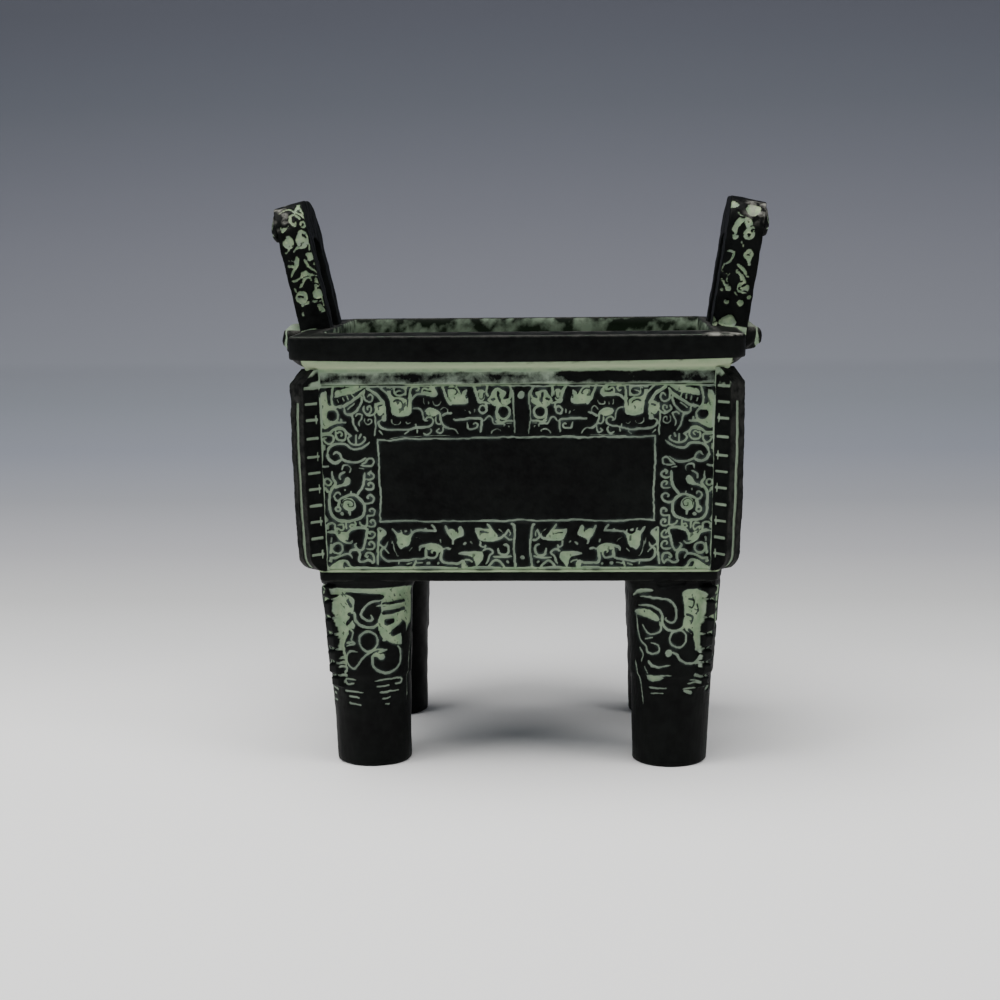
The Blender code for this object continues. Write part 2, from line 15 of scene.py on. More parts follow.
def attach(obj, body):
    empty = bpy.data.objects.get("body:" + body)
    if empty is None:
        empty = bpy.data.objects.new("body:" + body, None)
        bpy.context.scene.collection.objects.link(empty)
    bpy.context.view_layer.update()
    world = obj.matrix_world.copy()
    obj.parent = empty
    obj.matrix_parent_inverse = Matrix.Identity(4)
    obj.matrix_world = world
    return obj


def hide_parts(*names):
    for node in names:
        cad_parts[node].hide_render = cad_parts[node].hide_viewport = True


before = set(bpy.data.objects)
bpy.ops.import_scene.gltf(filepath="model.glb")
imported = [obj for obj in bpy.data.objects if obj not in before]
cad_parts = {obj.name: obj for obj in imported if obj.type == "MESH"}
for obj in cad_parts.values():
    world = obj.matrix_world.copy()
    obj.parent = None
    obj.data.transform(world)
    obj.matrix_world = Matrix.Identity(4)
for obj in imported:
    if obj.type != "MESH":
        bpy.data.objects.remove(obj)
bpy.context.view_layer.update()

MM = 0.001
TAU = 2.0 * math.pi
NODE = "bronze_ding"
BODY = "root"

# Rim and box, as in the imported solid
RIM_HALF_X = 55.0
RIM_HALF_Y = 43.0
RIM_TOP = 108.2
RIM_FACE = 5.6
RIM_TOP_RISE = 0.6
RIM_CORNER = 3.5
RIM_EDGE = 0.5
RIM_SAG = 0.7
WALL = 3.5
FLOOR = 4.0
BODY_HALF_X = 51.0
BODY_HALF_Y = 39.0
FOOT_INSET = 1.0
BODY_CORNER = 1.6
BODY_FOOT = 47.9
BAND_PULL = 0.028
NECK_PROUD = 0.4
FIELD_FOOT = 50.9
FIELD_TOP = 96.2
NECK_TOP = 100.6
RIM_FOOT = RIM_TOP - RIM_FACE

# Relief
RELIEF = 0.55
RIDGE_RISE = 2.0
EDGE = 0.26
FINE_STEP = 0.225
PLAIN_STEP = 0.34
SLAB = 1.5
FAINT_LEVEL = 0.40
FLECK_LIMIT = 0.75
FLECK_LEVEL = 0.62

# Panel, bands and columns
PANEL = ((-33.8, 83.1), (33.4, 83.6), (33.1, 63.1), (-33.4, 62.9))
TRACED_NEAR = -0.9
TRACED_FAR = -34.9
RIDGE_SHIFT = 1.2
GROOVE = 0.42
RIDGE_WIDTH = 4.2

# Flanges
FLANGE_THICKNESS = 5.2
FLANGE_REACH = 3.3
FLANGE_FOOT = 50.6
FLANGE_TOP = 100.2
FLANGE_SLANT = 3.4
FLANGE_LEVELS = (55.0, 59.0, 63.1, 67.1, 71.1, 75.1, 79.1, 83.6, 88.1, 92.0, 95.9)
FLANGE_SPREAD = 0.4
FLANGE_SWELL = 0.4
FLANGE_HEAD = 95.0

# Legs
LEG_INSET = 16.6
LEG_LEAN = 1.0
LEG_FOOT_RADIUS = 9.3
LEG_TOP_RADIUS = 11.4
LEG_FLARE = 0.6
LEG_SWELL = 1.3
INNER_FLARE = 1.7
INNER_FLARE_DROP = 5.0
MASK_HALF_WIDTH = 26.5
MASK_FOOT = 14.5
MASK_TOP = 45.9
NOSE_WIDTH = 3.2
NOSE_REACH = 1.8
NOSE_FOOT = 20.0
NOSE_NOTCHES = (42.8, 38.3, 34.2, 30.3, 26.8, 23.4)
LEDGE_LEVEL = 0.86

# Handles
HANDLE_HEIGHT = 32.8
HANDLE_WIDTH = 25.2
HANDLE_BAR = 7.6
HANDLE_SHOULDER = 0.5
HANDLE_CORNER = 7.5
HANDLE_SIDES = {
    -1: {"lean": math.radians(12.5), "inset": 2.9, "half": 3.9},
    1: {"lean": math.radians(9.0), "inset": 2.0, "half": 4.55},
}

# Camera of the photograph, in millimetres and degrees
CAMERA_PLACE = (17.3, -508.0, 134.7)
CAMERA_YAW = 2.63
CAMERA_PITCH = 8.07
CAMERA_ROLL = -0.57
CAMERA_LENS = 70.18

SEED = 7


def smooth(t):
    t = np.clip(t, 0.0, 1.0)
    return t * t * (3.0 - 2.0 * t)


class Waves:
    """Smooth seeded noise: a sum of sine waves in random directions."""

    def __init__(self, seed, scale, count=14):
        rng = np.random.default_rng(seed)
        self.direction = rng.normal(size=(count, 3)) * (TAU / scale / 1.7)
        self.phase = rng.uniform(0.0, TAU, count)

    def __call__(self, x, y, z=0.0):
        total = 0.0
        for (a, b, c), phase in zip(self.direction, self.phase):
            total = total + np.sin(a * x + b * y + c * z + phase)
        return total / math.sqrt(len(self.phase) / 2.0)


def box_blur(values, rows, columns):
    """Mean over a window, by running sums, with the edges repeated."""
    for axis, reach in ((0, rows), (1, columns)):
        pad = [(0, 0), (0, 0)]
        pad[axis] = (reach + 1, reach)
        running = np.cumsum(np.pad(values, pad, mode="edge"), axis=axis)
        window = 2 * reach + 1
        if axis == 0:
            values = (running[window:] - running[:-window]) / window
        else:
            values = (running[:, window:] - running[:, :-window]) / window
    return values


def smooth_path(points, count):
    """Catmull-Rom curve through the points, as an array of count + 1 points."""
    ends = np.array([points[0]] + list(points) + [points[-1]], dtype=float)
    spans = len(points) - 1
    path = []
    for i in range(count + 1):
        at = min(i * spans / count, spans - 1e-9)
        k = int(at)
        t = at - k
        a, b, c, d = ends[k:k + 4]
        path.append(0.5 * (2 * b + (c - a) * t + (2 * a - 5 * b + 4 * c - d) * t * t
                           + (3 * b - a - 3 * c + d) * t ** 3))
    return np.array(path)


def rounded(points):
    """A closed outline with its corners cut twice."""
    ring = np.asarray(points, dtype=float)
    for _ in range(2):
        after = np.roll(ring, -1, axis=0)
        ring = np.stack([0.75 * ring + 0.25 * after, 0.25 * ring + 0.75 * after], 1).reshape(-1, 2)
    return ring


AREA, LINE, FAINT, RAISED, DOT, RING = "area", "line", "faint", "raised", "dot", "ring"


class Relief:
    """A height field: 1 at the raised metal, 0 in the carved grooves and pools."""

    def __init__(self, us, vs, width_at=None, seed=SEED, warp=0.10):
        self.us = np.asarray(us, dtype=float)
        self.vs = np.asarray(vs, dtype=float)
        self.seed = seed
        self.width = np.ones(len(self.vs)) if width_at is None else width_at(self.vs)
        self.U = self.us[None, :] * self.width[:, None]
        self.V = np.repeat(self.vs[:, None], len(self.us), axis=1)
        noise_u, noise_v = Waves(seed, 7.0), Waves(seed + 1, 7.0)
        fine_u, fine_v = Waves(seed + 2, 1.6), Waves(seed + 3, 1.6)
        self.WU = self.U + warp * noise_u(self.U, self.V) + 0.045 * fine_u(self.U, self.V)
        self.WV = self.V + warp * noise_v(self.U, self.V) + 0.045 * fine_v(self.U, self.V)
        self.height = np.ones_like(self.U)
        self.bare = np.ones_like(self.U)

    def window(self, points, reach):
        """Rows and columns of the grid that a shape can touch."""
        low_u, low_v = points.min(axis=0) - reach
        high_u, high_v = points.max(axis=0) + reach
        rows = slice(*np.searchsorted(self.vs, (low_v, high_v)))
        width = self.width[rows]
        if len(width) == 0:
            return None
        low = min(low_u / width.min(), low_u / width.max())
        high = max(high_u / width.min(), high_u / width.max())
        columns = slice(*np.searchsorted(self.us, (low, high)))
        if columns.start >= columns.stop:
            return None
        return rows, columns

    def set_level(self, view, distance, level, edge):
        shape = smooth(0.5 - distance / edge)
        self.height[view] += (level - self.height[view]) * shape

    def stroke(self, path, start_width, end_width=None, level=0.0, edge=EDGE, round_ends=0.35):
        """A band along the path, narrower towards both ends."""
        path = np.asarray(path, dtype=float)
        end_width = start_width if end_width is None else end_width
        share = np.linspace(0.0, 1.0, len(path))
        taper = np.minimum(1.0, round_ends + 7.0 * np.minimum(share, 1.0 - share))
        half = (start_width + (end_width - start_width) * share) / 2.0 * taper
        view = self.window(path, half.max() + 0.8)
        if view is None:
            return
        x, y = self.WU[view], self.WV[view]
        distance = np.full_like(x, 99.0)
        for (ax, ay), (bx, by), wa, wb in zip(path[:-1], path[1:], half[:-1], half[1:]):
            dx, dy = bx - ax, by - ay
            t = np.clip(((x - ax) * dx + (y - ay) * dy) / max(dx * dx + dy * dy, 1e-9), 0.0, 1.0)
            away = np.hypot(x - ax - t * dx, y - ay - t * dy) - (wa + (wb - wa) * t)
            np.minimum(distance, away, out=distance)
        self.set_level(view, distance, level, edge)

    def disc(self, centre, radius, inner=0.0, level=0.0, edge=EDGE):
        """A disc, or a ring where inner is over zero."""
        centre = np.asarray(centre, dtype=float)
        view = self.window(centre[None, :], radius + 0.8)
        if view is None:
            return
        away = np.hypot(self.WU[view] - centre[0], self.WV[view] - centre[1])
        distance = np.maximum(away - radius, inner - away) if inner > 0.0 else away - radius
        self.set_level(view, distance, level, edge)

    def area(self, points, level=0.0, edge=EDGE):
        """The inside of an outline."""
        ring = rounded(points)
        view = self.window(ring, 0.8)
        if view is None:
            return
        x, y = self.WU[view], self.WV[view]
        away = np.full_like(x, 99.0)
        inside = np.zeros(x.shape, dtype=bool)
        for (ax, ay), (bx, by) in zip(ring, np.roll(ring, -1, axis=0)):
            dx, dy = bx - ax, by - ay
            t = np.clip(((x - ax) * dx + (y - ay) * dy) / max(dx * dx + dy * dy, 1e-9), 0.0, 1.0)
            np.minimum(away, np.hypot(x - ax - t * dx, y - ay - t * dy), out=away)
            if dy != 0.0:
                inside ^= ((ay > y) != (by > y)) & (x < dx * (y - ay) / dy + ax)
        self.set_level(view, np.where(inside, -away, away), level, edge)

    def draw(self, items, put, size=1.0):
        """Cut a table of shapes; put moves each point and size scales the widths."""
        for kind, points, *widths in items:
            moved = np.array([put(u, v) for u, v in points])
            wide = [w * size for w in widths]
            if kind == AREA:
                self.area(moved)
            elif kind == DOT:
                self.disc(moved[0], wide[0])
            elif kind == RING:
                radius = float(np.hypot(*(moved[1] - moved[0])))
                self.disc(moved[0], radius + wide[0] / 2, radius - wide[0] / 2)
            else:
                level = {LINE: 0.0, FAINT: FAINT_LEVEL, RAISED: 1.0}[kind]
                self.stroke(smooth_path(moved, 5 * len(moved)), *wide, level=level)

    def form(self):
        """The height with its edges eased, for the shape itself."""
        return 0.7 * self.height + 0.3 * box_blur(self.height, 2, 2)


# The carving of the front wall's left half, in millimetres along the wall and up.
# A shape has its kind, its points and its widths at both ends or its radius.
DRAGON_UPPER = (
    (AREA, ((-31.8, 96.2), (-30.6, 96), (-26.3, 96.1), (-26, 95.1), (-25.4, 93.8), (-25.3, 92.3),
     (-25.4, 90.6), (-25.5, 89), (-27.7, 88.7), (-30, 88.8), (-30.1, 90.6), (-30.4, 92.4), (-31, 93.9))),
    (AREA, ((-22.5, 94.5), (-21.8, 95.3), (-21.2, 95.2), (-20.7, 96.2), (-19.8, 95.3), (-19.4, 94.3),
     (-20.1, 93.3), (-22.6, 93.6))),
    (AREA, ((-22.3, 89.6), (-21.6, 90.5), (-19.1, 90.1), (-18.5, 89.6), (-19.5, 88.8), (-20.5, 88.6),
     (-21.7, 88.8))),
    (AREA, ((-32.7, 89), (-31.9, 89), (-31.5, 87.6), (-32.9, 87.6))),
    (RAISED, ((-30, 96.1), (-30, 95), (-29.8, 93.8), (-28.1, 93.3), (-26.4, 93.3), (-26.3, 94.9),
     (-26.4, 96.1), (-28.2, 96.2), (-30, 96.1)), 0.74),
    (RAISED, ((-28.3, 95.1), (-27.9, 94.5)), 2.34),
    (RAISED, ((-27.1, 93.3), (-26.3, 92.6), (-26.4, 91.1)), 0.55, 0.31),
    (RAISED, ((-29.8, 92.2), (-28.7, 92.6), (-27.7, 92.3), (-27.4, 91.7)), 0.52, 0.32),
    (RAISED, ((-31.4, 95.2), (-30.6, 95.2)), 0.61),
    (RAISED, ((-22.1, 94.8), (-20.5, 94.7)), 0.52, 0.42),
    (LINE, ((-27.7, 94.8), (-28.7, 94.7), (-29.3, 94.2), (-28.9, 93.7), (-27.7, 93.6), (-26.9, 94.2),
     (-26.9, 95), (-27.5, 95.6), (-28.5, 95.8), (-29.6, 95.6), (-30.2, 95.2)), 0.44, 0.37),
    (LINE, ((-30.1, 92.9), (-28.1, 93), (-27.2, 92.8), (-26.9, 92.1), (-26.9, 91)), 0.44),
    (LINE, ((-25.5, 90.6), (-25.8, 92.6), (-25.8, 94.4), (-25.5, 95.5), (-24.6, 95.7), (-23.6, 95.5),
     (-23.9, 94.7), (-24.6, 94.8)), 0.59, 0.49),
    (LINE, ((-25.3, 92.6), (-24.7, 93.4), (-23.8, 93.8), (-22.6, 93.9), (-21.6, 93.9), (-20.1, 93.5),
     (-19.4, 94.3), (-19.8, 95.3), (-20.7, 96.3)), 0.61, 0.49),
    (LINE, ((-22.6, 93.9), (-22.8, 94.8), (-22.4, 95.4), (-21.3, 95.3)), 0.49, 0.37),
    (LINE, ((-18.2, 96.8), (-17.7, 95.3), (-17.2, 93.8), (-16.6, 92.2), (-15.7, 91.5)), 0.61, 0.74),
    (LINE, ((-35, 94.7), (-34.1, 94.2), (-33.2, 93.4), (-32.5, 92.2), (-32, 91), (-31.9, 89.6),
     (-31.8, 88.6)), 0.71, 0.59),
    (LINE, ((-33.8, 96.4), (-32.8, 95.5), (-31.7, 94.6), (-30.9, 93.6), (-30.4, 92.2), (-30.2, 90.6),
     (-30, 89.1)), 0.49, 0.54),
    (LINE, ((-34.3, 91.1), (-34, 90.1), (-33, 89.5), (-32.3, 89.6)), 0.49, 0.37),
    (LINE, ((-32.8, 88), (-33.4, 87.6), (-33.7, 87.1), (-33.3, 86.3), (-32.3, 85.7), (-31.3, 85.5),
     (-28.7, 85.5), (-26.6, 85.4), (-24.6, 85.8), (-22.6, 85.9), (-21.4, 86.2), (-20.6, 86.8),
     (-20.5, 87.8), (-21.1, 88.3), (-21.9, 88.2), (-22.3, 87.6), (-21.7, 87.3)), 0.57, 0.44),
    (LINE, ((-25.2, 90.8), (-24.1, 90.7), (-23.3, 90.2), (-22.9, 89.1), (-22.7, 87.8),
     (-22.1, 87.3)), 0.44, 0.37),
    (LINE, ((-22.4, 89.7), (-21.6, 90.3), (-20.2, 90.2), (-19, 89.8), (-18.5, 88.8), (-18.4, 87.6),
     (-17.9, 86.5), (-17, 85.9), (-15.7, 85.7)), 0.57),
    (LINE, ((-19.6, 88.6), (-19.7, 87.3), (-19.1, 86.7), (-18.4, 86.9)), 0.47, 0.42),
    (FAINT, ((-18.5, 90.2), (-17.7, 90.9), (-16.9, 90.5), (-16.8, 89.7)), 0.42, 0.34),
    (LINE, ((-18, 88.8), (-17, 89.4), (-15.7, 89.5)), 0.57),
    (FAINT, ((-22.5, 92.9), (-22.6, 91.9), (-22.3, 91.4)), 0.42, 0.34),
    (FAINT, ((-21.4, 92.1), (-21.4, 91.5)), 0.49, 0.42),
    (FAINT, ((-20.3, 92.4), (-20.2, 91.7), (-19.7, 91.3), (-18.8, 91.5), (-18.3, 92.5)), 0.42, 0.32),
    (FAINT, ((-30.4, 88.1), (-30.3, 87.2), (-29.6, 86.8), (-28.6, 86.9), (-28.2, 87.6)), 0.42, 0.32),
    (FAINT, ((-27, 87.3), (-26.5, 86.8), (-25.7, 87)), 0.42, 0.32),
    (LINE, ((-24.6, 86.6), (-24.6, 85.6)), 0.37),
    (LINE, ((-24.2, 85.3), (-24.2, 84.7)), 0.44, 0.32),
    (FAINT, ((-27.3, 84.3), (-26.4, 85)), 0.54),
    (FAINT, ((-33.3, 85.2), (-32.5, 84.4)), 0.54, 0.44),
    (LINE, ((-22.8, 84.7), (-22.1, 84.3), (-21.3, 84.6), (-21, 85.3), (-21.2, 85.7)), 0.44, 0.37),
    (LINE, ((-19.7, 85.1), (-19, 85.6)), 0.49, 0.37),
    (LINE, ((-19.7, 85), (-18.9, 84.6), (-18.2, 84.9), (-17.9, 86.1)), 0.44, 0.37),
    (FAINT, ((-31.5, 83.6), (-26.5, 83.7), (-21.6, 84), (-15.8, 84.1)), 0.25),
    (AREA, ((-16.5, 96.1), (-14.7, 96), (-13.8, 94.9), (-13.3, 93.9), (-12.8, 94.9), (-11.8, 95.2),
     (-12.1, 94), (-11.6, 93.2), (-11.6, 91.6), (-15.6, 91.5), (-16.6, 92.2))),
    (AREA, ((-9.7, 93), (-8.9, 92), (-7.7, 92.1), (-6.7, 91.7), (-5.1, 90.5), (-4.7, 91.6), (-4.2, 92),
     (-3.5, 92), (-2.9, 92.7), (-4.1, 91.5), (-5.7, 91.2), (-8, 91.6), (-9.2, 91.6))),
    (AREA, ((-6.5, 93.2), (-5.6, 94.5), (-4.8, 95), (-3.5, 94.9), (-2.5, 94.4), (-2.5, 93.7),
     (-3.1, 93.3), (-2.9, 92.6), (-1.3, 92.8), (-1.3, 91.8), (-4.8, 90.5), (-6.7, 91.8), (-7, 92.2))),
    (AREA, ((-9.3, 95), (-7.7, 95.2), (-7.4, 93.7), (-7.7, 92.2), (-8.9, 92.1), (-9.3, 93.7))),
    (RAISED, ((-16.5, 95.1), (-15.3, 95.3), (-14.5, 94.8), (-14.4, 94.1), (-14.9, 93.8)), 0.47, 0.32),
    (RAISED, ((-14.4, 96.1), (-13.6, 95.1), (-13.2, 93.9)), 0.64, 0.32),
    (RAISED, ((-12, 93.1), (-12.2, 93.9)), 0.37, 0.27),
    (RAISED, ((-9, 94.3), (-8.9, 93.1), (-8.4, 92.7), (-7.8, 93.2), (-7.8, 94.5)), 0.34),
    (RAISED, ((-4.3, 94.5), (-4.2, 93.3), (-4, 92)), 0.91, 0.42),
    (RAISED, ((-5.8, 92.6), (-5.3, 92.8)), 0.86, 0.74),
    (RAISED, ((-3.3, 89.7), (-3.2, 89.6)), 2.34),
    (LINE, ((-15.3, 88), (-14.8, 87.8), (-12.9, 87.9), (-11.1, 88), (-9.2, 88), (-8.2, 87.6)), 0.57, 0.61),
    (LINE, ((-8.5, 87.5), (-8.5, 86.3), (-8.7, 84.6)), 0.61, 0.42),
    (LINE, ((-11.2, 96.8), (-10.1, 95.6), (-9.5, 94.1), (-9.1, 92.6), (-8.7, 91.7)), 0.64, 0.74),
    (LINE, ((-6.8, 93.3), (-7.1, 94.7), (-6.8, 95.9), (-6, 96.7)), 0.64, 0.54),
    (LINE, ((-1.9, 96.1), (-1.3, 94.9), (-1.4, 93.7), (-1.8, 92.9), (-2.9, 92.7)), 0.54),
    (LINE, ((-6.1, 93.3), (-5.5, 94.3), (-5, 94.9), (-4.2, 95), (-3.5, 94.7), (-2.6, 94.3), (-3.2, 93.8),
     (-3.6, 93.1), (-3.2, 92.2)), 0.57),
    (RING, ((-3.3, 89.6), (-1.7, 89.6)), 0.61),
    (RING, ((-8.3, 90.1), (-7.4, 90.1)), 0.49),
    (LINE, ((-4.7, 91.2), (-5, 89.7), (-4.9, 88.2), (-4.2, 87.5)), 0.49, 0.44),
    (LINE, ((-0.9, 94.9), (-0.7, 91.2), (-0.6, 87.5), (-0.5, 84.2)), 0.57, 0.52),
    (LINE, ((-5.2, 87.5), (-3.7, 87.1), (-2.5, 87.5), (-0.8, 87.5)), 0.49),
    (LINE, ((-7.5, 91.6), (-7.2, 90.5)), 0.49),
    (LINE, ((-8, 87.5), (-6.9, 88.5), (-6, 88), (-5.5, 86.9), (-4.3, 86.8), (-3, 86.6),
     (-3.2, 85.9)), 0.44, 0.37),
    (FAINT, ((-6.4, 84.3), (-5.9, 85.1), (-4.9, 85.5), (-4, 85.2), (-3.9, 84.7)), 0.49, 0.42),
    (LINE, ((-12, 87.2), (-11.7, 85.8), (-11.2, 85.5), (-9.8, 85.6), (-9.3, 86.4), (-9.8, 86.8),
     (-10.4, 86.5)), 0.47, 0.42),
    (FAINT, ((-16.7, 85.8), (-15.4, 85.7), (-14.6, 85.2), (-14.2, 84.4)), 0.42, 0.37),
    (FAINT, ((-10.2, 90.4), (-10.3, 89.5)), 0.49, 0.42),
    (FAINT, ((-11.4, 89.9), (-11.1, 89.3)), 0.54, 0.42),
    (FAINT, ((-12.5, 90.2), (-12.2, 90)), 0.44, 0.37),
    (LINE, ((-10.3, 96.5), (-9.1, 96.1), (-7.6, 96.2), (-6.7, 96.7)), 0.37),
    (FAINT, ((-2, 86.2), (-1.9, 85.9)), 0.49, 0.42),
    (FAINT, ((-2.6, 86.9), (-1.2, 87)), 0.37, 0.3),
)
DRAGON_LOWER = (
    (AREA, ((-30.7, 61.1), (-29.5, 59.9), (-28.8, 60.2), (-27.8, 59.6), (-27, 59.3), (-26, 60.1),
     (-25.1, 60.4), (-25.4, 59.9), (-26, 59.5), (-26.2, 58.3), (-26.5, 57.2), (-27.2, 56.6), (-28.3, 56),
     (-28.9, 56.2), (-29.2, 57.5), (-29.5, 59))),
    (AREA, ((-33.5, 60.7), (-32.8, 60.5), (-32.5, 59.9), (-33.3, 59.2), (-33.9, 58.9))),
    (AREA, ((-23.2, 60.5), (-22.6, 61.4), (-22.1, 60.7))),
    (AREA, ((-22.3, 56.7), (-19.7, 56.8), (-18.9, 56), (-19.2, 54.9), (-19.8, 55.6), (-21.1, 56),
     (-22.2, 55.6))),
    (LINE, ((-34, 61.4), (-34.2, 56.8), (-34.2, 52.1)), 0.52, 0.44),
    (LINE, ((-34, 61.4), (-33.1, 60.9), (-32.4, 59.9), (-33.3, 59), (-33.8, 58.2)), 0.54, 0.49),
    (LINE, ((-30.8, 61.2), (-30, 60.1), (-29.4, 58.9), (-29.2, 57.2), (-28.5, 56)), 0.52, 0.61),
    (LINE, ((-27.2, 56.5), (-26.5, 57.8), (-26.2, 59.3), (-25.4, 60.2), (-24.5, 60.5), (-22.6, 60.5),
     (-20.7, 60.5), (-20.1, 60.5)), 0.57, 0.61),
    (LINE, ((-21.1, 62.1), (-20.4, 61.3), (-20.1, 60.4)), 0.57),
    (LINE, ((-33.9, 57.3), (-32.7, 56.4), (-31.8, 55.5), (-31.6, 55.1)), 0.49, 0.32),
    (LINE, ((-31.8, 57.8), (-32.2, 56.9), (-33.2, 56.1), (-33.5, 55.2), (-33.3, 54.2), (-32.4, 53.3),
     (-31.5, 53), (-29, 53), (-27.2, 53), (-25.2, 53.4), (-23.4, 53.7), (-22.6, 54.1), (-22.6, 55.6),
     (-22.4, 56.6)), 0.54, 0.59),
    (LINE, ((-24.2, 55.6), (-23.8, 56.5), (-22.6, 56.8), (-21.1, 57.1), (-19.6, 56.8), (-18.7, 56.2),
     (-18.7, 54.7), (-18.7, 53.4), (-18.1, 52.6), (-16.3, 52.5)), 0.69, 0.74),
    (LINE, ((-22.3, 55.6), (-22.3, 54.2), (-21.1, 53.8), (-20.1, 53.9), (-19.7, 54.9), (-20.2, 55.6),
     (-21.1, 55.5), (-20.9, 54.9)), 0.54, 0.47),
    (LINE, ((-18.3, 56), (-17.3, 56.3), (-16.5, 56.1)), 0.49, 0.44),
    (LINE, ((-17.7, 61.9), (-17.2, 60.5), (-16.2, 59)), 0.61, 0.86),
    (FAINT, ((-30.6, 58.3), (-30.3, 56.2), (-29.6, 54.4), (-29.1, 54.3)), 0.37, 0.32),
    (FAINT, ((-26.7, 55.3), (-25.9, 56.2)), 0.44, 0.37),
    (FAINT, ((-31.1, 58.8), (-30.8, 57.3)), 0.25),
    (LINE, ((-29.3, 52.9), (-29.2, 52.1)), 0.42, 0.3),
    (FAINT, ((-27.3, 52.1), (-26, 52.5)), 0.49),
    (LINE, ((-24.9, 53), (-25.6, 51.5)), 0.54),
    (FAINT, ((-24.8, 52.5), (-23.1, 52.6)), 0.54, 0.44),
    (LINE, ((-22, 52.5), (-21.6, 52.5)), 0.76),
    (LINE, ((-19.4, 52.4), (-19.3, 52.4)), 0.61, 0.49),
    (FAINT, ((-27.6, 60.6), (-27.1, 60.6)), 0.74, 0.49),
    (LINE, ((-28.8, 60.8), (-28.5, 60)), 0.32, 0.44),
    (LINE, ((-26.1, 60.8), (-25.8, 60)), 0.32, 0.44),
    (FAINT, ((-25, 58.9), (-23.8, 58.4), (-23.3, 57.8)), 0.3, 0.22),
    (FAINT, ((-19.1, 58.4), (-19, 57.7)), 0.61, 0.49),
    (AREA, ((-17.1, 61), (-15.6, 61), (-15.2, 60.1), (-14.6, 61.3), (-14, 61.9), (-13.2, 60.6),
     (-12.9, 59.5), (-14.1, 59), (-15.5, 58.6), (-15.8, 57.6), (-16.1, 58.4), (-17.1, 59.6))),
    (AREA, ((-10.6, 61.1), (-9.5, 61), (-8.1, 60.9), (-6.7, 61), (-5.9, 59.9), (-5.1, 58.7), (-3.9, 59),
     (-3.6, 60), (-4.6, 60.8), (-5.1, 61.3), (-4.5, 61.1), (-3.5, 60), (-3.5, 58.3), (-5.9, 58), (-9, 58),
     (-9.8, 59.2))),
    (AREA, ((-14.9, 54.9), (-13.4, 55.3), (-10.9, 55.3), (-8.6, 55.5), (-8.4, 54.3), (-8.6, 53.1),
     (-9.5, 52.4), (-10.2, 51.2), (-10.7, 52.9), (-11.2, 54.1), (-13.5, 54.5))),
    (AREA, ((-13.5, 50.6), (-14.1, 52.9), (-12.7, 52.5), (-12.6, 51.3), (-10.2, 51.1), (-10.5, 49.7),
     (-17.3, 49.7), (-17.3, 50.8))),
    (RAISED, ((-16.6, 61.4), (-15.5, 61.4), (-14.8, 60.9), (-14.7, 60.1)), 0.54, 0.42),
    (RAISED, ((-9.1, 60.1), (-7.9, 60.1), (-7, 59.9)), 0.49, 0.25),
    (LINE, ((-7.5, 62.2), (-6.6, 61.1), (-5.8, 59.9), (-5.2, 58.9)), 0.61, 0.74),
    (LINE, ((-2.4, 60.9), (-3.2, 59.2), (-2.4, 58.2), (-1.4, 58.3)), 0.57),
    (LINE, ((-2.4, 60.9), (-2, 59.9), (-2.1, 59.1)), 0.37, 0.32),
    (LINE, ((-1.8, 62.2), (-1, 61.5), (-0.8, 57.9), (-0.7, 54.1), (-0.8, 50.9)), 0.66, 0.74),
    (LINE, ((-3.4, 57), (-2.4, 56.7), (-2.1, 55.6), (-2.7, 54.6), (-3.7, 54.4), (-4.6, 54.9),
     (-4.9, 56.2)), 0.61, 0.57),
    (LINE, ((-9, 58), (-8.9, 56.8), (-8.1, 56.5), (-7.8, 57.1)), 0.52, 0.44),
    (LINE, ((-8.6, 55.5), (-7.5, 56.1), (-6.5, 55.7), (-6.2, 54.9), (-6.9, 54.3), (-7.3, 53.1),
     (-7.7, 52.1)), 0.59, 0.49),
    (LINE, ((-17.2, 52.4), (-14.7, 52.6), (-13.5, 53), (-12.9, 52.1), (-12.6, 51.1)), 0.74),
    (LINE, ((-13.1, 53.4), (-12, 53.2), (-11.2, 52.7)), 0.44, 0.37),
    (LINE, ((-7.1, 51.2), (-6.2, 52.6), (-5.1, 53.1), (-3.9, 52.3), (-3.2, 51.4)), 0.61),
    (LINE, ((-6.1, 53.9), (-3.7, 53.9), (-1.4, 54.2)), 0.52, 0.54),
    (FAINT, ((-2.7, 53), (-2.4, 52.7)), 0.74, 0.61),
    (FAINT, ((-13, 57.2), (-12.6, 57.5)), 0.98, 0.74),
    (FAINT, ((-11.2, 57.7), (-11, 57.4)), 0.74, 0.54),
    (LINE, ((-17.2, 56.2), (-16.4, 56.2)), 0.61, 0.44),
    (LINE, ((-15.9, 58), (-15.8, 57.4)), 0.49, 0.37),
    (LINE, ((-3.5, 51.2), (-0.8, 51.4)), 0.49, 0.61),
)
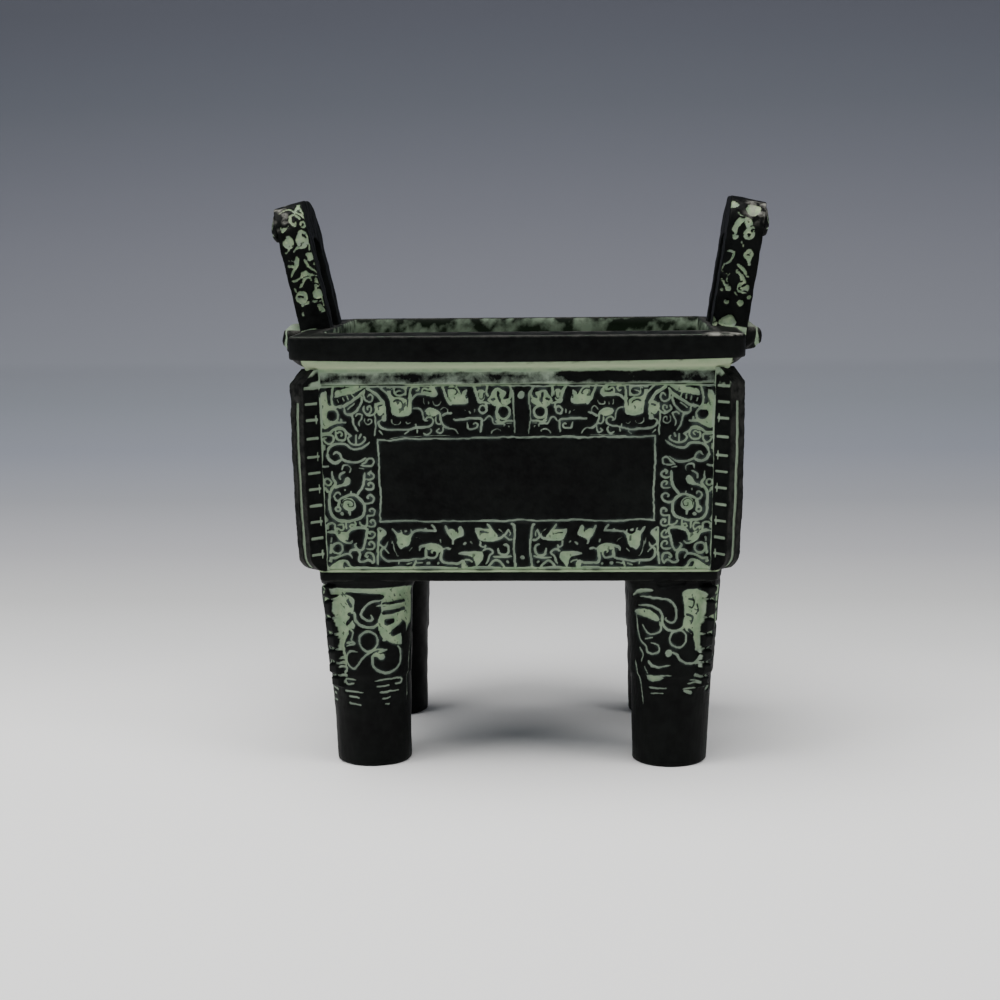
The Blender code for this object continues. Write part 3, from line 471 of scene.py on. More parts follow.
COLUMN = (
    (AREA, ((-47.8, 94.6), (-46, 95.2), (-46, 91.2), (-44.5, 91.5), (-43.6, 90.8), (-44.5, 90.1),
     (-46.1, 90.1), (-46.3, 88.2), (-44.6, 87.4), (-42.7, 88), (-45.4, 86.7), (-47, 85.7), (-47.8, 86.3))),
    (AREA, ((-43.8, 95), (-41.9, 95.2), (-39.7, 95.9), (-37.2, 96.4), (-39.1, 95), (-41.6, 94.1),
     (-44, 93.6))),
    (AREA, ((-43.7, 91.2), (-41.7, 91.5), (-39.8, 92.6), (-37.9, 93.9), (-36.6, 95.5), (-37.3, 93.8),
     (-39.2, 92.4), (-41.4, 91), (-43, 90.5))),
    (AREA, ((-44.7, 85.2), (-43.4, 86.2), (-42.2, 85.8), (-41.3, 84.4), (-41.9, 84.9), (-42.6, 85.5),
     (-44, 85.2))),
    (AREA, ((-34.3, 91.9), (-32.9, 92.3), (-32.1, 92), (-32.1, 90), (-32.9, 88.8), (-34, 89.4))),
    (RAISED, ((-45.3, 95.8), (-45.4, 91.3)), 0.71, 0.61),
    (RAISED, ((-42.3, 90.9), (-42.1, 90.1)), 0.46, 0.37),
    (RAISED, ((-33.5, 91.1), (-32.6, 91.4)), 0.61, 0.46),
    (RAISED, ((-44.9, 89.1), (-44.8, 89)), 2.46),
    (LINE, ((-47.6, 93), (-47.6, 88.8), (-47.6, 84.2), (-47.7, 76.5)), 0.71, 0.68),
    (LINE, ((-46.2, 95.1), (-46, 91.3)), 0.61, 0.55),
    (LINE, ((-44.2, 96.3), (-44.7, 93.5), (-44.6, 91.5), (-43.7, 90.8)), 0.68, 0.61),
    (LINE, ((-44, 93.6), (-41.6, 94.1), (-39.5, 94.5), (-36.8, 96.1)), 0.71, 0.61),
    (FAINT, ((-43.4, 93), (-43.2, 92.2)), 0.4),
    (LINE, ((-42, 93.3), (-41.8, 92.4)), 0.4),
    (LINE, ((-40.9, 93.7), (-40.7, 92.8)), 0.4),
    (LINE, ((-39.8, 94), (-39.4, 93.3)), 0.4),
    (LINE, ((-43.7, 91.1), (-41.7, 91.4), (-39.8, 92.5), (-37.9, 93.9), (-36.6, 95.3)), 0.77, 0.61),
    (LINE, ((-41.8, 90.8), (-41.5, 89.4), (-39.6, 89.4), (-38.3, 90.7), (-37.5, 92.5),
     (-37.6, 93.7)), 0.65, 0.55),
    (LINE, ((-41, 90.4), (-39.2, 91.9)), 0.52, 0.31),
    (RING, ((-44.9, 89), (-43.3, 89)), 0.65),
    (FAINT, ((-42.5, 91.6), (-42.5, 90.8)), 0.61, 0.46),
    (LINE, ((-42.6, 88.4), (-42.8, 87.5), (-44, 87.3), (-45.4, 86.6), (-46.8, 85.8)), 0.65),
    (LINE, ((-42.8, 87.5), (-41.5, 87.5)), 0.52, 0.46),
    (LINE, ((-47.7, 84.6), (-45.8, 84.7), (-44.8, 85.4), (-43.5, 86), (-42.3, 85.8), (-41.3, 84.6),
     (-40.2, 84.1)), 0.71, 0.61),
    (LINE, ((-41.5, 89.2), (-40.1, 88.9), (-39.8, 87.5), (-39.5, 86.3), (-38.6, 84.9)), 0.65, 0.43),
    (LINE, ((-39.1, 88.7), (-38.5, 89.3), (-37.6, 89.1), (-37.7, 88.2), (-38.4, 87.2),
     (-38.2, 86.1)), 0.52, 0.43),
    (LINE, ((-43.9, 84.5), (-43.1, 84.9), (-42.6, 84.4), (-43.1, 83.9)), 0.52, 0.46),
    (LINE, ((-44.2, 85.1), (-44.2, 83.7), (-43.6, 83), (-42.2, 83), (-41.7, 84.1),
     (-41.9, 85.1)), 0.61, 0.55),
    (LINE, ((-47.7, 84.1), (-46.3, 84.3), (-45, 84.1), (-44.9, 82.9), (-45.7, 82.1), (-46.7, 82.5),
     (-47, 83.4), (-46.3, 83.5)), 0.58, 0.52),
    (LINE, ((-40.2, 84.1), (-41.1, 83.5), (-40.7, 82.5), (-39.4, 82), (-37.9, 82.3), (-36.9, 83.2),
     (-37.4, 83.8)), 0.58, 0.52),
    (LINE, ((-39.2, 84.2), (-39.1, 82.3)), 0.52),
    (LINE, ((-38, 84.3), (-38.4, 83.4)), 0.61, 0.52),
    (LINE, ((-47.1, 81.6), (-47.1, 80.7)), 0.61, 0.52),
    (LINE, ((-46.4, 79.6), (-46, 81), (-45, 81.8), (-43.2, 82.1), (-41.6, 81.8), (-40.1, 80.9),
     (-38.2, 81.1), (-37, 81.6), (-35.9, 82.5)), 0.74, 0.61),
    (LINE, ((-45, 79.1), (-44.2, 79.9), (-43.2, 79.2), (-42.8, 78.3), (-41.4, 77.7), (-39.4, 77.5),
     (-38, 77.8), (-36.7, 78.6)), 0.68, 0.61),
    (LINE, ((-46.4, 79.6), (-45.9, 78.3), (-44.9, 77.4), (-43.9, 77.4), (-42.8, 78)), 0.86),
    (LINE, ((-38, 77), (-37.1, 77.4), (-36.1, 78.4), (-35.1, 78.3), (-35.1, 77.2), (-35.8, 76.6),
     (-38.3, 76.7)), 0.52),
    (LINE, ((-47.3, 76.4), (-45.9, 76.4)), 0.61, 0.55),
    (LINE, ((-36.1, 93.4), (-35.6, 94), (-35, 93.9), (-34.8, 93), (-35.5, 92.2), (-36.7, 92.6), (-37, 94),
     (-36.6, 95.3)), 0.52),
    (LINE, ((-36.2, 90.3), (-36.3, 91), (-35.5, 91.1), (-35.4, 90.2), (-36.1, 89.4), (-37.2, 90.1),
     (-37, 91.3)), 0.52),
    (LINE, ((-37.1, 90), (-36.3, 89.2), (-35.2, 89.2), (-34.3, 90), (-34.3, 91.9)), 0.55),
    (FAINT, ((-36.1, 87.4), (-36, 88.2), (-35.3, 88), (-35.3, 87.2), (-36.2, 86.7), (-37, 87.5),
     (-36.8, 88.5)), 0.46),
    (LINE, ((-34.5, 89.4), (-34.3, 86.3), (-34.4, 83.8)), 0.46, 0.43),
    (LINE, ((-36.3, 95.6), (-35.1, 95), (-33.9, 94.2), (-32.7, 92.7), (-31.9, 91.6)), 0.71, 0.77),
    (FAINT, ((-38.7, 76.1), (-37.3, 75.9)), 0.52, 0.46),
    (FAINT, ((-36.4, 74.7), (-35.6, 75.5)), 0.61, 0.46),
    (FAINT, ((-42.8, 75.7), (-42.4, 76.8), (-41.3, 76.9), (-40.7, 76.1), (-41.2, 75)), 0.61, 0.52),
    (AREA, ((-44.4, 71.9), (-42.7, 72.3), (-42.3, 73.6), (-41.5, 74.1), (-40.8, 73.5), (-40.9, 72.4),
     (-41.6, 71.8), (-43.6, 71.5), (-44.9, 70.8))),
    (AREA, ((-46.6, 51.3), (-44.9, 52.6), (-43.4, 53.4), (-41.7, 53.4), (-41.1, 51.9), (-39.8, 51.3),
     (-38.1, 50.6), (-38.2, 49.6), (-47.4, 49.6))),
    (AREA, ((-44, 60.1), (-41.9, 60), (-41.8, 58.1), (-43.6, 58.1), (-43.9, 58.8))),
    (LINE, ((-45.2, 75.1), (-45.1, 73.5), (-44.5, 72.3), (-45.5, 70.8), (-46, 69.4), (-45.9, 66.9),
     (-45.7, 64.9), (-44.6, 63.4), (-42.9, 62.9), (-40.9, 62.9), (-38.5, 63.9), (-37.7, 65.2),
     (-37.6, 67.2), (-38.6, 68.5), (-39.7, 69.3), (-41, 69.3), (-42.8, 68.5), (-43.5, 68.1)), 0.83, 0.8),
    (LINE, ((-42.2, 75.3), (-43.4, 74.4), (-43.4, 73.4)), 0.64, 0.54),
    (DOT, ((-41.2, 67),), 1.89),
    (RAISED, ((-41, 67.2), (-41.4, 67), (-41, 66.5), (-40.2, 66.9), (-40.3, 67.8), (-41.4, 68.2),
     (-42.4, 67.6), (-42.5, 66.5)), 0.32, 0.35),
    (LINE, ((-43.3, 69.3), (-43.6, 70), (-44.4, 69.8), (-44.7, 69), (-44.1, 68.1), (-43.4, 68)), 0.54),
    (LINE, ((-43.4, 68), (-43.7, 66.5), (-44.2, 66.2)), 0.96, 0.64),
    (RING, ((-43.9, 65.8), (-43.3, 65.8)), 0.58),
    (DOT, ((-42.9, 64.6),), 0.54),
    (LINE, ((-41.1, 65.2), (-41.1, 64.3)), 0.8, 0.48),
    (FAINT, ((-42.3, 70.8), (-42.2, 70.4)), 0.64, 0.48),
    (LINE, ((-37.3, 75.1), (-37.6, 72.1), (-38.3, 70.7), (-39.3, 69.4)), 0.74, 0.7),
    (LINE, ((-40.8, 70.2), (-40.8, 69.3)), 0.38, 0.48),
    (LINE, ((-47.7, 75.1), (-47.7, 70.2), (-47.7, 65.2), (-47.4, 60.3), (-47.1, 55.3), (-47.5, 52.9),
     (-46.5, 51.3)), 0.74, 0.77),
    (RING, ((-46.4, 72.5), (-45.6, 72.5)), 0.58),
    (LINE, ((-47.1, 70.9), (-46.5, 70.2)), 0.96, 0.64),
    (LINE, ((-47.7, 64.4), (-46.7, 63.2)), 1.12, 0.8),
    (LINE, ((-46.7, 60.9), (-46.7, 61.9), (-45.7, 62.5), (-44.9, 61.9), (-45, 60.3)), 0.64, 0.58),
    (DOT, ((-47, 63.2),), 0.64),
    (LINE, ((-44.3, 61.9), (-43.1, 62.2), (-42.7, 61.4), (-43.2, 60.7), (-44.3, 61.2),
     (-44.3, 60.4)), 0.58, 0.54),
    (LINE, ((-42.2, 63), (-42, 61.1)), 0.58, 0.54),
    (LINE, ((-41.1, 61.4), (-40.9, 62), (-40.1, 61.9)), 0.7, 0.54),
    (LINE, ((-39.9, 62.9), (-39.8, 61.6), (-40.9, 61.1)), 0.54),
    (LINE, ((-38.7, 62.9), (-38.2, 62), (-36.9, 62), (-36.9, 64.4)), 0.58),
    (LINE, ((-46.8, 60.2), (-44.7, 60.1), (-43.9, 58.8), (-43.1, 58.1), (-41.3, 57.4),
     (-40.5, 58.1)), 0.83, 0.61),
    (LINE, ((-44, 60.3), (-41.9, 59.9), (-40.9, 60.8), (-38.9, 61.2), (-37, 61), (-37, 59.9),
     (-37.5, 57.8), (-38, 56.1), (-38.9, 55.7), (-40, 56.9), (-39.5, 57.5)), 0.8, 0.64),
    (LINE, ((-41.7, 59.8), (-41.8, 58.3)), 0.64, 0.58),
    (RING, ((-44.4, 56.2), (-43.1, 56.2)), 0.64),
    (LINE, ((-46.2, 53.8), (-44.8, 53.7), (-43.2, 54.5), (-41.4, 54.7), (-40.6, 53.6)), 0.74, 0.54),
    (LINE, ((-41.4, 54.8), (-40.9, 55.6), (-39.5, 55.7), (-38.7, 54.6), (-38.9, 53.1), (-37.8, 52.7),
     (-36.5, 53.2), (-35.5, 52.5)), 0.77, 0.64),
    (LINE, ((-37.5, 54.3), (-36.6, 55), (-35.5, 54.5), (-35.2, 53.1), (-35.7, 52.4)), 0.67, 0.61),
    (LINE, ((-37.5, 54.3), (-37, 53.8), (-36.7, 54.2)), 0.54, 0.45),
    (LINE, ((-46, 53.6), (-45.8, 52.9), (-46.3, 53.1)), 0.64, 0.54),
    (RAISED, ((-42.6, 52.4), (-41.4, 51.1)), 0.96),
    (FAINT, ((-45.8, 58.8), (-45.9, 57.8)), 0.8, 0.64),
    (LINE, ((-45.9, 57.3), (-46, 54.8)), 0.64),
    (LINE, ((-34.2, 61.4), (-34, 58.6), (-34.5, 52.2)), 0.58, 0.54),
    (LINE, ((-36, 74.3), (-36.3, 74.8), (-35.7, 75), (-35, 74.5), (-35.2, 73.7), (-36.2, 73.4),
     (-37, 73.6)), 0.61, 0.54),
    (LINE, ((-36.2, 71.8), (-36.5, 72.3), (-35.9, 72.6), (-35.2, 72.1), (-35.4, 71.1), (-36.4, 70.9),
     (-37.2, 71.1)), 0.61, 0.54),
    (LINE, ((-36.4, 68.6), (-36.8, 69.1), (-36.1, 69.6), (-35.2, 68.9), (-35.5, 67.7), (-36.7, 67.4),
     (-37.8, 67.7)), 0.61, 0.54),
    (LINE, ((-35.9, 65.2), (-36.2, 65.7), (-35.6, 66), (-34.9, 65.5), (-35.1, 64.5), (-36.1, 64.3),
     (-37, 64.5)), 0.61, 0.54),
    (LINE, ((-35.7, 62.6), (-36, 63.1), (-35.4, 63.3), (-34.8, 62.8), (-35, 62), (-35.9, 61.7),
     (-36.6, 61.9)), 0.61, 0.54),
    (LINE, ((-36.1, 59.6), (-36.4, 60.1), (-35.8, 60.4), (-35, 59.8), (-35.3, 58.9), (-36.2, 58.6),
     (-37.1, 58.9)), 0.61, 0.54),
    (LINE, ((-36.2, 56.9), (-36.5, 57.4), (-35.9, 57.8), (-35.1, 57.2), (-35.4, 56.1), (-36.5, 55.9),
     (-37.4, 56.1)), 0.61, 0.54),
)


def wall_field(half_width, step, seed, ridge_at):
    """Relief of one wall over (along the wall, height)."""
    def width_at(v):
        return half_width - (FIELD_TOP - v) / (FIELD_TOP - FIELD_FOOT) * FOOT_INSET - 0.6

    columns = int(2 * half_width / step)
    rows = int((FIELD_TOP - FIELD_FOOT) / step)
    field = Relief(np.linspace(-1.0, 1.0, columns), np.linspace(FIELD_FOOT, FIELD_TOP, rows), width_at, seed)
    shift = BODY_HALF_X - half_width
    for hand in (-1, 1):
        near = ridge_at + hand * RIDGE_WIDTH / 2
        far = -hand * (TRACED_FAR + shift)

        def along_band(u, v, near=near, far=far):
            return near + (u - TRACED_NEAR) / (TRACED_FAR - TRACED_NEAR) * (far - near), v

        def in_column(u, v, hand=hand):
            return -hand * (u + shift), v

        field.draw(DRAGON_UPPER + DRAGON_LOWER, along_band, 0.93)
        field.draw(COLUMN, in_column, 0.84)
    corners = [(u - math.copysign(shift, u), v) for u, v in PANEL]
    for start, end in zip(corners, corners[1:] + corners[:1]):
        field.stroke([start, end], GROOVE, round_ends=1.0)
    reach = half_width - FOOT_INSET
    for v, width in ((FIELD_TOP - 0.2, 0.40), (FIELD_FOOT + 0.3, 0.7)):
        field.stroke([(-reach, v), (reach, v)], width, round_ends=1.0)
    half = RIDGE_WIDTH / 2 - 0.35
    for low, high in ((PANEL[0][1] + 0.6, FIELD_TOP - 0.5), (FIELD_FOOT + 0.6, PANEL[2][1] - 0.7)):
        outline = [(-half, low), (half, low), (half, high), (-half, high)]
        field.area([(ridge_at + u, v) for u, v in outline], level=1.0)
        view = field.window(np.array(outline) + (ridge_at, 0.0), 0.4)
        distance = np.maximum(np.abs(field.WU[view] - ridge_at) - half,
                              np.abs(field.WV[view] - (low + high) / 2) - (high - low) / 2)
        field.height[view] += (RIDGE_RISE - 1.0) * smooth(0.5 - (distance + 0.15) / 0.6)
    for centre, radius in (((ridge_at + 0.2, 93.7), 0.85), ((ridge_at, 54.0), 0.5)):
        away = np.hypot(field.WU - ridge_at, field.WV - centre[1])
        field.bare = np.minimum(field.bare, smooth((away - radius + 0.15) / 0.3))
        field.disc(centre, radius, level=1.0)
    return field


def pigment(field, step):
    """Relief and pooled-pigment values for the shader, 0 to 1."""
    reach = max(1, int(0.9 / step))
    relief = np.minimum(np.clip(field.height, 0.0, 1.0), field.bare)
    pool = box_blur(box_blur(1.0 - relief, reach, reach), reach, reach)
    flecks = smooth((Waves(field.seed + 8, 1.5)(field.U, field.V) - FLECK_LIMIT) / 0.5)
    relief = relief + (FLECK_LEVEL - relief) * flecks * smooth((pool - 0.45) / 0.3) * (relief < FLECK_LEVEL)
    near = max(1, int(0.5 / step))
    dust = box_blur(box_blur(1.0 - relief, near, near), near, near)
    return relief, smooth((pool - 0.25) / 0.5), smooth((dust - 0.10) / 0.5)


def grid_quads(rows, columns, wrap=False, offset=0):
    """Faces of a grid of points; wrap joins the last column to the first."""
    index = np.arange(rows * columns).reshape(rows, columns) + offset
    if wrap:
        index = np.concatenate([index, index[:, :1]], axis=1)
    return np.stack([index[:-1, :-1], index[:-1, 1:], index[1:, 1:], index[1:, :-1]], -1).reshape(-1, 4)


def make_mesh(name, points, quads, values, extra_faces=()):
    """A smooth mesh piece in metres with its shader values on its points."""
    mesh = bpy.data.meshes.new(name)
    points = np.asarray(points, dtype=np.float32) * MM
    faces = [quad for quad in quads.tolist()] + [list(face) for face in extra_faces]
    mesh.from_pydata(points.tolist(), [], faces)
    mesh.update()
    for key in ("relief", "pool", "wear", "painted_shade", "dust"):
        data = values.get(key, np.zeros(len(points)))
        attribute = mesh.attributes.new(key, "FLOAT", "POINT")
        attribute.data.foreach_set("value", np.asarray(data, dtype=np.float32).ravel())
    mesh.shade_smooth()
    piece = bpy.data.objects.new(name, mesh)
    bpy.context.scene.collection.objects.link(piece)
    piece.data.materials.append(BRONZE)
    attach(piece, BODY)
    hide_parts(NODE)
    return piece


def outward(points, quads, centre):
    """Whether the first faces look away from the centre."""
    a, b, c = (points[quads[:400, k]] for k in range(3))
    normal = np.cross(b - a, c - a)
    return float(np.sum(normal * (a - np.asarray(centre)))) > 0.0


def closed_grid(name, points, rows, columns, values, centre, wrap=True):
    """A closed piece from a wrapped grid with a flat cap at each end."""
    quads = grid_quads(rows, columns, wrap)
    first = list(range(columns))
    last = list(range((rows - 1) * columns, rows * columns))
    if outward(points, quads, centre):
        caps = (first[::-1], last)
    else:
        quads = quads[:, ::-1]
        caps = (first, last[::-1])
    return make_mesh(name, points, quads, values, caps)


def wall_piece(name, index, half, half_width, step, seed):
    """A carved wall as a thin closed slab let into the box."""
    field = wall_field(half_width, step, seed, RIDGE_SHIFT if index == 0 else 0.0)
    right, normal = (((1, 0), (0, -1)), ((0, 1), (1, 0)), ((-1, 0), (0, 1)), ((0, -1), (-1, 0)))[index]
    rough = Waves(seed + 5, 1.1)(field.U, field.V) * 0.016 + Waves(seed + 6, 5.0)(field.U, field.V) * 0.03
    out = field.form() * RELIEF + rough
    lean = (FIELD_TOP - field.V) / (FIELD_TOP - FIELD_FOOT) * FOOT_INSET
    reach = half - lean + out
    front = np.stack([right[0] * field.U + normal[0] * reach, right[1] * field.U + normal[1] * reach, field.V], -1)
    rows, columns = field.U.shape
    relief, pool, dust = pigment(field, step)
    edge = np.concatenate([np.arange(columns), np.arange(1, rows) * columns + columns - 1,
                           (rows - 1) * columns + np.arange(columns - 2, -1, -1),
                           np.arange(rows - 2, 0, -1) * columns])
    points = front.reshape(-1, 3)
    back = points[edge] - np.array([normal[0], normal[1], 0.0]) * SLAB
    count = rows * columns
    ring = np.arange(len(edge)) + count
    follow = np.roll(np.arange(len(edge)), -1)
    skirt = np.stack([edge[follow], edge, ring, ring[follow]], -1)
    quads = np.concatenate([grid_quads(rows, columns), skirt])
    points = np.concatenate([points, back])
    fill = np.zeros(len(edge))
    values = {
        "relief": np.concatenate([relief.ravel(), fill]),
        "pool": np.concatenate([pool.ravel(), fill]),
        "dust": np.concatenate([dust.ravel(), fill]),
    }
    return make_mesh(name, points, quads, values, (ring.tolist()[::-1],))


def rounded_ring(half_x, half_y, corner, step=1.6, corner_steps=7):
    """Points round a rectangle with round corners, evenly along its sides."""
    points = []
    for index, (sx, sy) in enumerate(((1, 1), (-1, 1), (-1, -1), (1, -1))):
        for i in range(corner_steps + 1):
            turn = TAU / 4 * (index + i / corner_steps)
            points.append((sx * (half_x - corner) + corner * math.cos(turn),
                           sy * (half_y - corner) + corner * math.sin(turn)))
        length = 2 * ((RIM_HALF_X if index % 2 == 0 else RIM_HALF_Y) - RIM_CORNER)
        a = np.array(points[-1])
        nx, ny = ((-1, 1), (-1, -1), (1, -1), (1, 1))[index]
        turn = TAU / 4 * (index + 1)
        b = np.array((nx * (half_x - corner) + corner * math.cos(turn),
                      ny * (half_y - corner) + corner * math.sin(turn)))
        count = int(length / step)
        points += [tuple(a + (b - a) * i / count) for i in range(1, count)]
    return np.array(points)


def core_piece():
    """Rim, neck, base band, underside and the hollow inside, as one shell."""
    foot = -FOOT_INSET
    behind = 0.9
    rim = RIM_HALF_X - BODY_HALF_X
    # Each row: out from the box's top line, corner radius, height, relief, pool, wear, painted shade; the painted
    # shade darkens the inside of the hollow and the underside
    rows = [
        (foot - 3.0, 1.2, BODY_FOOT, 0.8, 0.2, 0.0, 0.6),
        (foot + NECK_PROUD - RIM_EDGE, BODY_CORNER, BODY_FOOT, 0.9, 0.2, 0.0, 0.3),
        (foot + NECK_PROUD - 0.1, BODY_CORNER, BODY_FOOT + 0.15, 1.0, 0.1, 0.05, 0.0),
        (foot + NECK_PROUD, BODY_CORNER, BODY_FOOT + RIM_EDGE, 1.0, 0.1, 0.0, 0.0),
        (foot + NECK_PROUD, BODY_CORNER, BODY_FOOT + 1.5, 0.90, 0.2, 0.0, 0.0),
        (foot + NECK_PROUD, BODY_CORNER, FIELD_FOOT - 0.8, 0.80, 0.6, 0.0, 0.0),
        (foot + NECK_PROUD - 0.1, BODY_CORNER, FIELD_FOOT - 0.5, 0.05, 1.5, 0.0, 0.0),
        (foot, BODY_CORNER, FIELD_FOOT - 0.15, 0.0, 1.5, 0.0, 0.0),
        (foot - behind, BODY_CORNER, FIELD_FOOT + 0.1, 0.0, 0.8, 0.0, 0.0),
        (-behind, BODY_CORNER, FIELD_TOP - 0.1, 0.0, 0.8, 0.0, 0.0),
        (0.0, BODY_CORNER, FIELD_TOP + 0.05, 0.1, 0.9, 0.0, 0.0),
        (NECK_PROUD, BODY_CORNER, FIELD_TOP + 0.45, 0.48, 0.2, 0.0, 0.0),
        (NECK_PROUD, BODY_CORNER, FIELD_TOP + 1.0, 0.60, 0.0, 0.0, 0.0),
        (NECK_PROUD, BODY_CORNER, FIELD_TOP + 2.2, 0.60, 0.0, 0.0, 0.0),
        (NECK_PROUD, BODY_CORNER, FIELD_TOP + 3.0, 0.48, 0.2, 0.0, 0.0),
        (NECK_PROUD, BODY_CORNER, NECK_TOP - 0.7, 0.08, 1.0, 0.0, 0.0),
        (NECK_PROUD + 0.2, BODY_CORNER, NECK_TOP, 0.05, 1.9, 0.0, 0.0),
        (NECK_PROUD + 1.6, 2.4, NECK_TOP + 0.85, 0.18, 1.5, 0.0, 0.0),
        (rim - RIM_EDGE - 0.2, RIM_CORNER, RIM_FOOT - 0.05, 0.34, 1.2, 0.0, 0.0),
        (rim - 0.15, RIM_CORNER, RIM_FOOT + 0.12, 0.95, 0.3, 0.0, 0.0),
        (rim, RIM_CORNER, RIM_FOOT + RIM_EDGE, 1.0, 0.0, 0.0, 0.0),
        (rim, RIM_CORNER, RIM_FOOT + 2.0, 1.0, 0.0, 0.0, 0.0),
        (rim, RIM_CORNER, RIM_TOP - 1.4, 1.0, 0.0, 0.0, 0.0),
        (rim, RIM_CORNER, RIM_TOP - RIM_EDGE, 1.0, 0.0, 0.0, 0.0),
        (rim - 0.15, RIM_CORNER, RIM_TOP - 0.12, 0.75, 0.2, 0.1, 0.0),
        (rim - RIM_EDGE, RIM_CORNER, RIM_TOP, 0.62, 0.2, 0.25, 0.0),
        (rim - 1.3, 3.2, RIM_TOP + 0.12, 0.95, 0.1, 0.05, 0.0),
        (rim - 2.4, 3.0, RIM_TOP + 0.22, 1.0, 0.0, 0.02, 0.0),
        (-WALL + 2.4, 2.4, RIM_TOP + 0.42, 1.0, 0.0, 0.02, 0.0),
        (-WALL + 0.5, BODY_CORNER, RIM_TOP + RIM_TOP_RISE, 0.85, 0.2, 0.20, 0.0),
        (-WALL, BODY_CORNER, RIM_TOP + 0.2, 0.60, 0.3, 0.0, 0.3),
        (-WALL - 0.1, BODY_CORNER, RIM_TOP - 3.0, 0.55, 0.4, 0.0, 0.55),
        (-WALL - 0.5, BODY_CORNER, RIM_TOP - 14.0, 0.40, 0.5, 0.0, 0.60),
        (foot - WALL + 0.6, BODY_CORNER, BODY_FOOT + FLOOR + 12.0, 0.45, 0.4, 0.0, 0.8),
        (foot - WALL, 1.6, BODY_FOOT + FLOOR + 1.2, 0.30, 0.5, 0.0, 0.9),
        (foot - WALL - 1.0, 1.2, BODY_FOOT + FLOOR, 0.20, 0.6, 0.0, 0.9),
        (foot - WALL - 12.0, 1.0, BODY_FOOT + FLOOR, 0.55, 0.4, 0.0, 0.9),
        (foot - WALL - 24.0, 0.8, BODY_FOOT + FLOOR, 0.50, 0.4, 0.0, 0.9),
    ]
    fine_rows = []
    for a, b in zip(rows, rows[1:]):
        parts = max(1, int(max(abs(b[0] - a[0]), abs(b[2] - a[2])) / 1.5))
        fine_rows += [tuple(p + (q - p) * i / parts for p, q in zip(a, b)) for i in range(parts)]
    fine_rows.append(rows[-1])
    rings, attributes = [], []
    for out, corner, z, relief, pool, wear, painted_shade in fine_rows:
        ring = rounded_ring(BODY_HALF_X + out, BODY_HALF_Y + out, corner)
        rings.append(np.concatenate([ring, np.full((len(ring), 1), z)], axis=1))
        attributes.append(np.tile((relief, pool, wear, painted_shade), (len(ring), 1)))
    columns = len(rings[0])
    points = np.concatenate(rings)
    data = np.concatenate(attributes)
    x, y, z = points.T
    wobble = Waves(SEED + 20, 30.0)(x, y, z) * 0.05 + Waves(SEED + 21, 4.0)(x, y, z) * 0.022
    inward = np.stack([-x / BODY_HALF_X, -y / BODY_HALF_Y], 1)
    points[:, :2] += inward * np.abs(wobble)[:, None]
    points[:, 0] *= 1.0 - BAND_PULL * smooth((FIELD_FOOT - 0.1 - z) / 0.6) * smooth((z - BODY_FOOT + 1.0) / 0.5)
    names = ("relief", "pool", "wear", "painted_shade")
    values = {key: data[:, k] for k, key in enumerate(names)}
    streak = smooth((x - 8.0) / 4.0) * smooth((43.0 - x) / 4.0) * smooth((-y - 36.0) / 2.0)
    streak *= smooth((z - 96.6) / 0.8) * smooth((99.8 - z) / 0.7)
    values["relief"] = np.maximum(values["relief"], 0.82 * streak)
    mottle = Waves(SEED + 22, 9.0)(x * 0.7, y * 0.7, z * 3.0) * 0.30
    mottle = mottle + Waves(SEED + 23, 3.0)(x * 0.8, y * 0.8, z * 1.6) * 0.50
    inside = (data[:, 3] > 0.25) * 0.30
    neck = ((z > FIELD_TOP + 0.3) & (z < NECK_TOP - 0.2)) * 0.15
    sloped = ((z > NECK_TOP + 0.3) & (z < RIM_FOOT)) * 0.14
    values["relief"] = np.clip(values["relief"] + mottle * (inside + neck + sloped), 0.0, 1.0)
    under = (z > NECK_TOP + 0.3) & (z < RIM_FOOT + 2.0) & (np.abs(y) > BODY_HALF_Y - 2.0)
    points[:, 2] -= RIM_SAG * (1.0 - (x / RIM_HALF_X) ** 2) * under * smooth((z - NECK_TOP - 0.3) / 1.2)
    # Painted shade: on the short sides and corners the slope under the rim is painted dark metal, standing in for
    # its shadow
    painted_shade_slope = smooth((z - NECK_TOP - 0.2) / 0.4) * (z < RIM_FOOT + 0.05)
    values["relief"] = np.maximum(values["relief"], painted_shade_slope * smooth((np.abs(x) - BODY_HALF_X - 0.2) / 0.8))
    worn_end = smooth((x - 43.0) / 5.0) * smooth((-y - 38.0) / 3.0) * smooth((z - RIM_TOP + 0.5) / 0.3)
    values["wear"] = np.maximum(values["wear"], 0.9 * worn_end)
    return closed_grid("ding_box_and_rim", points, len(rings), columns, values, (0.0, 0.0, BODY_FOOT + 1.0))


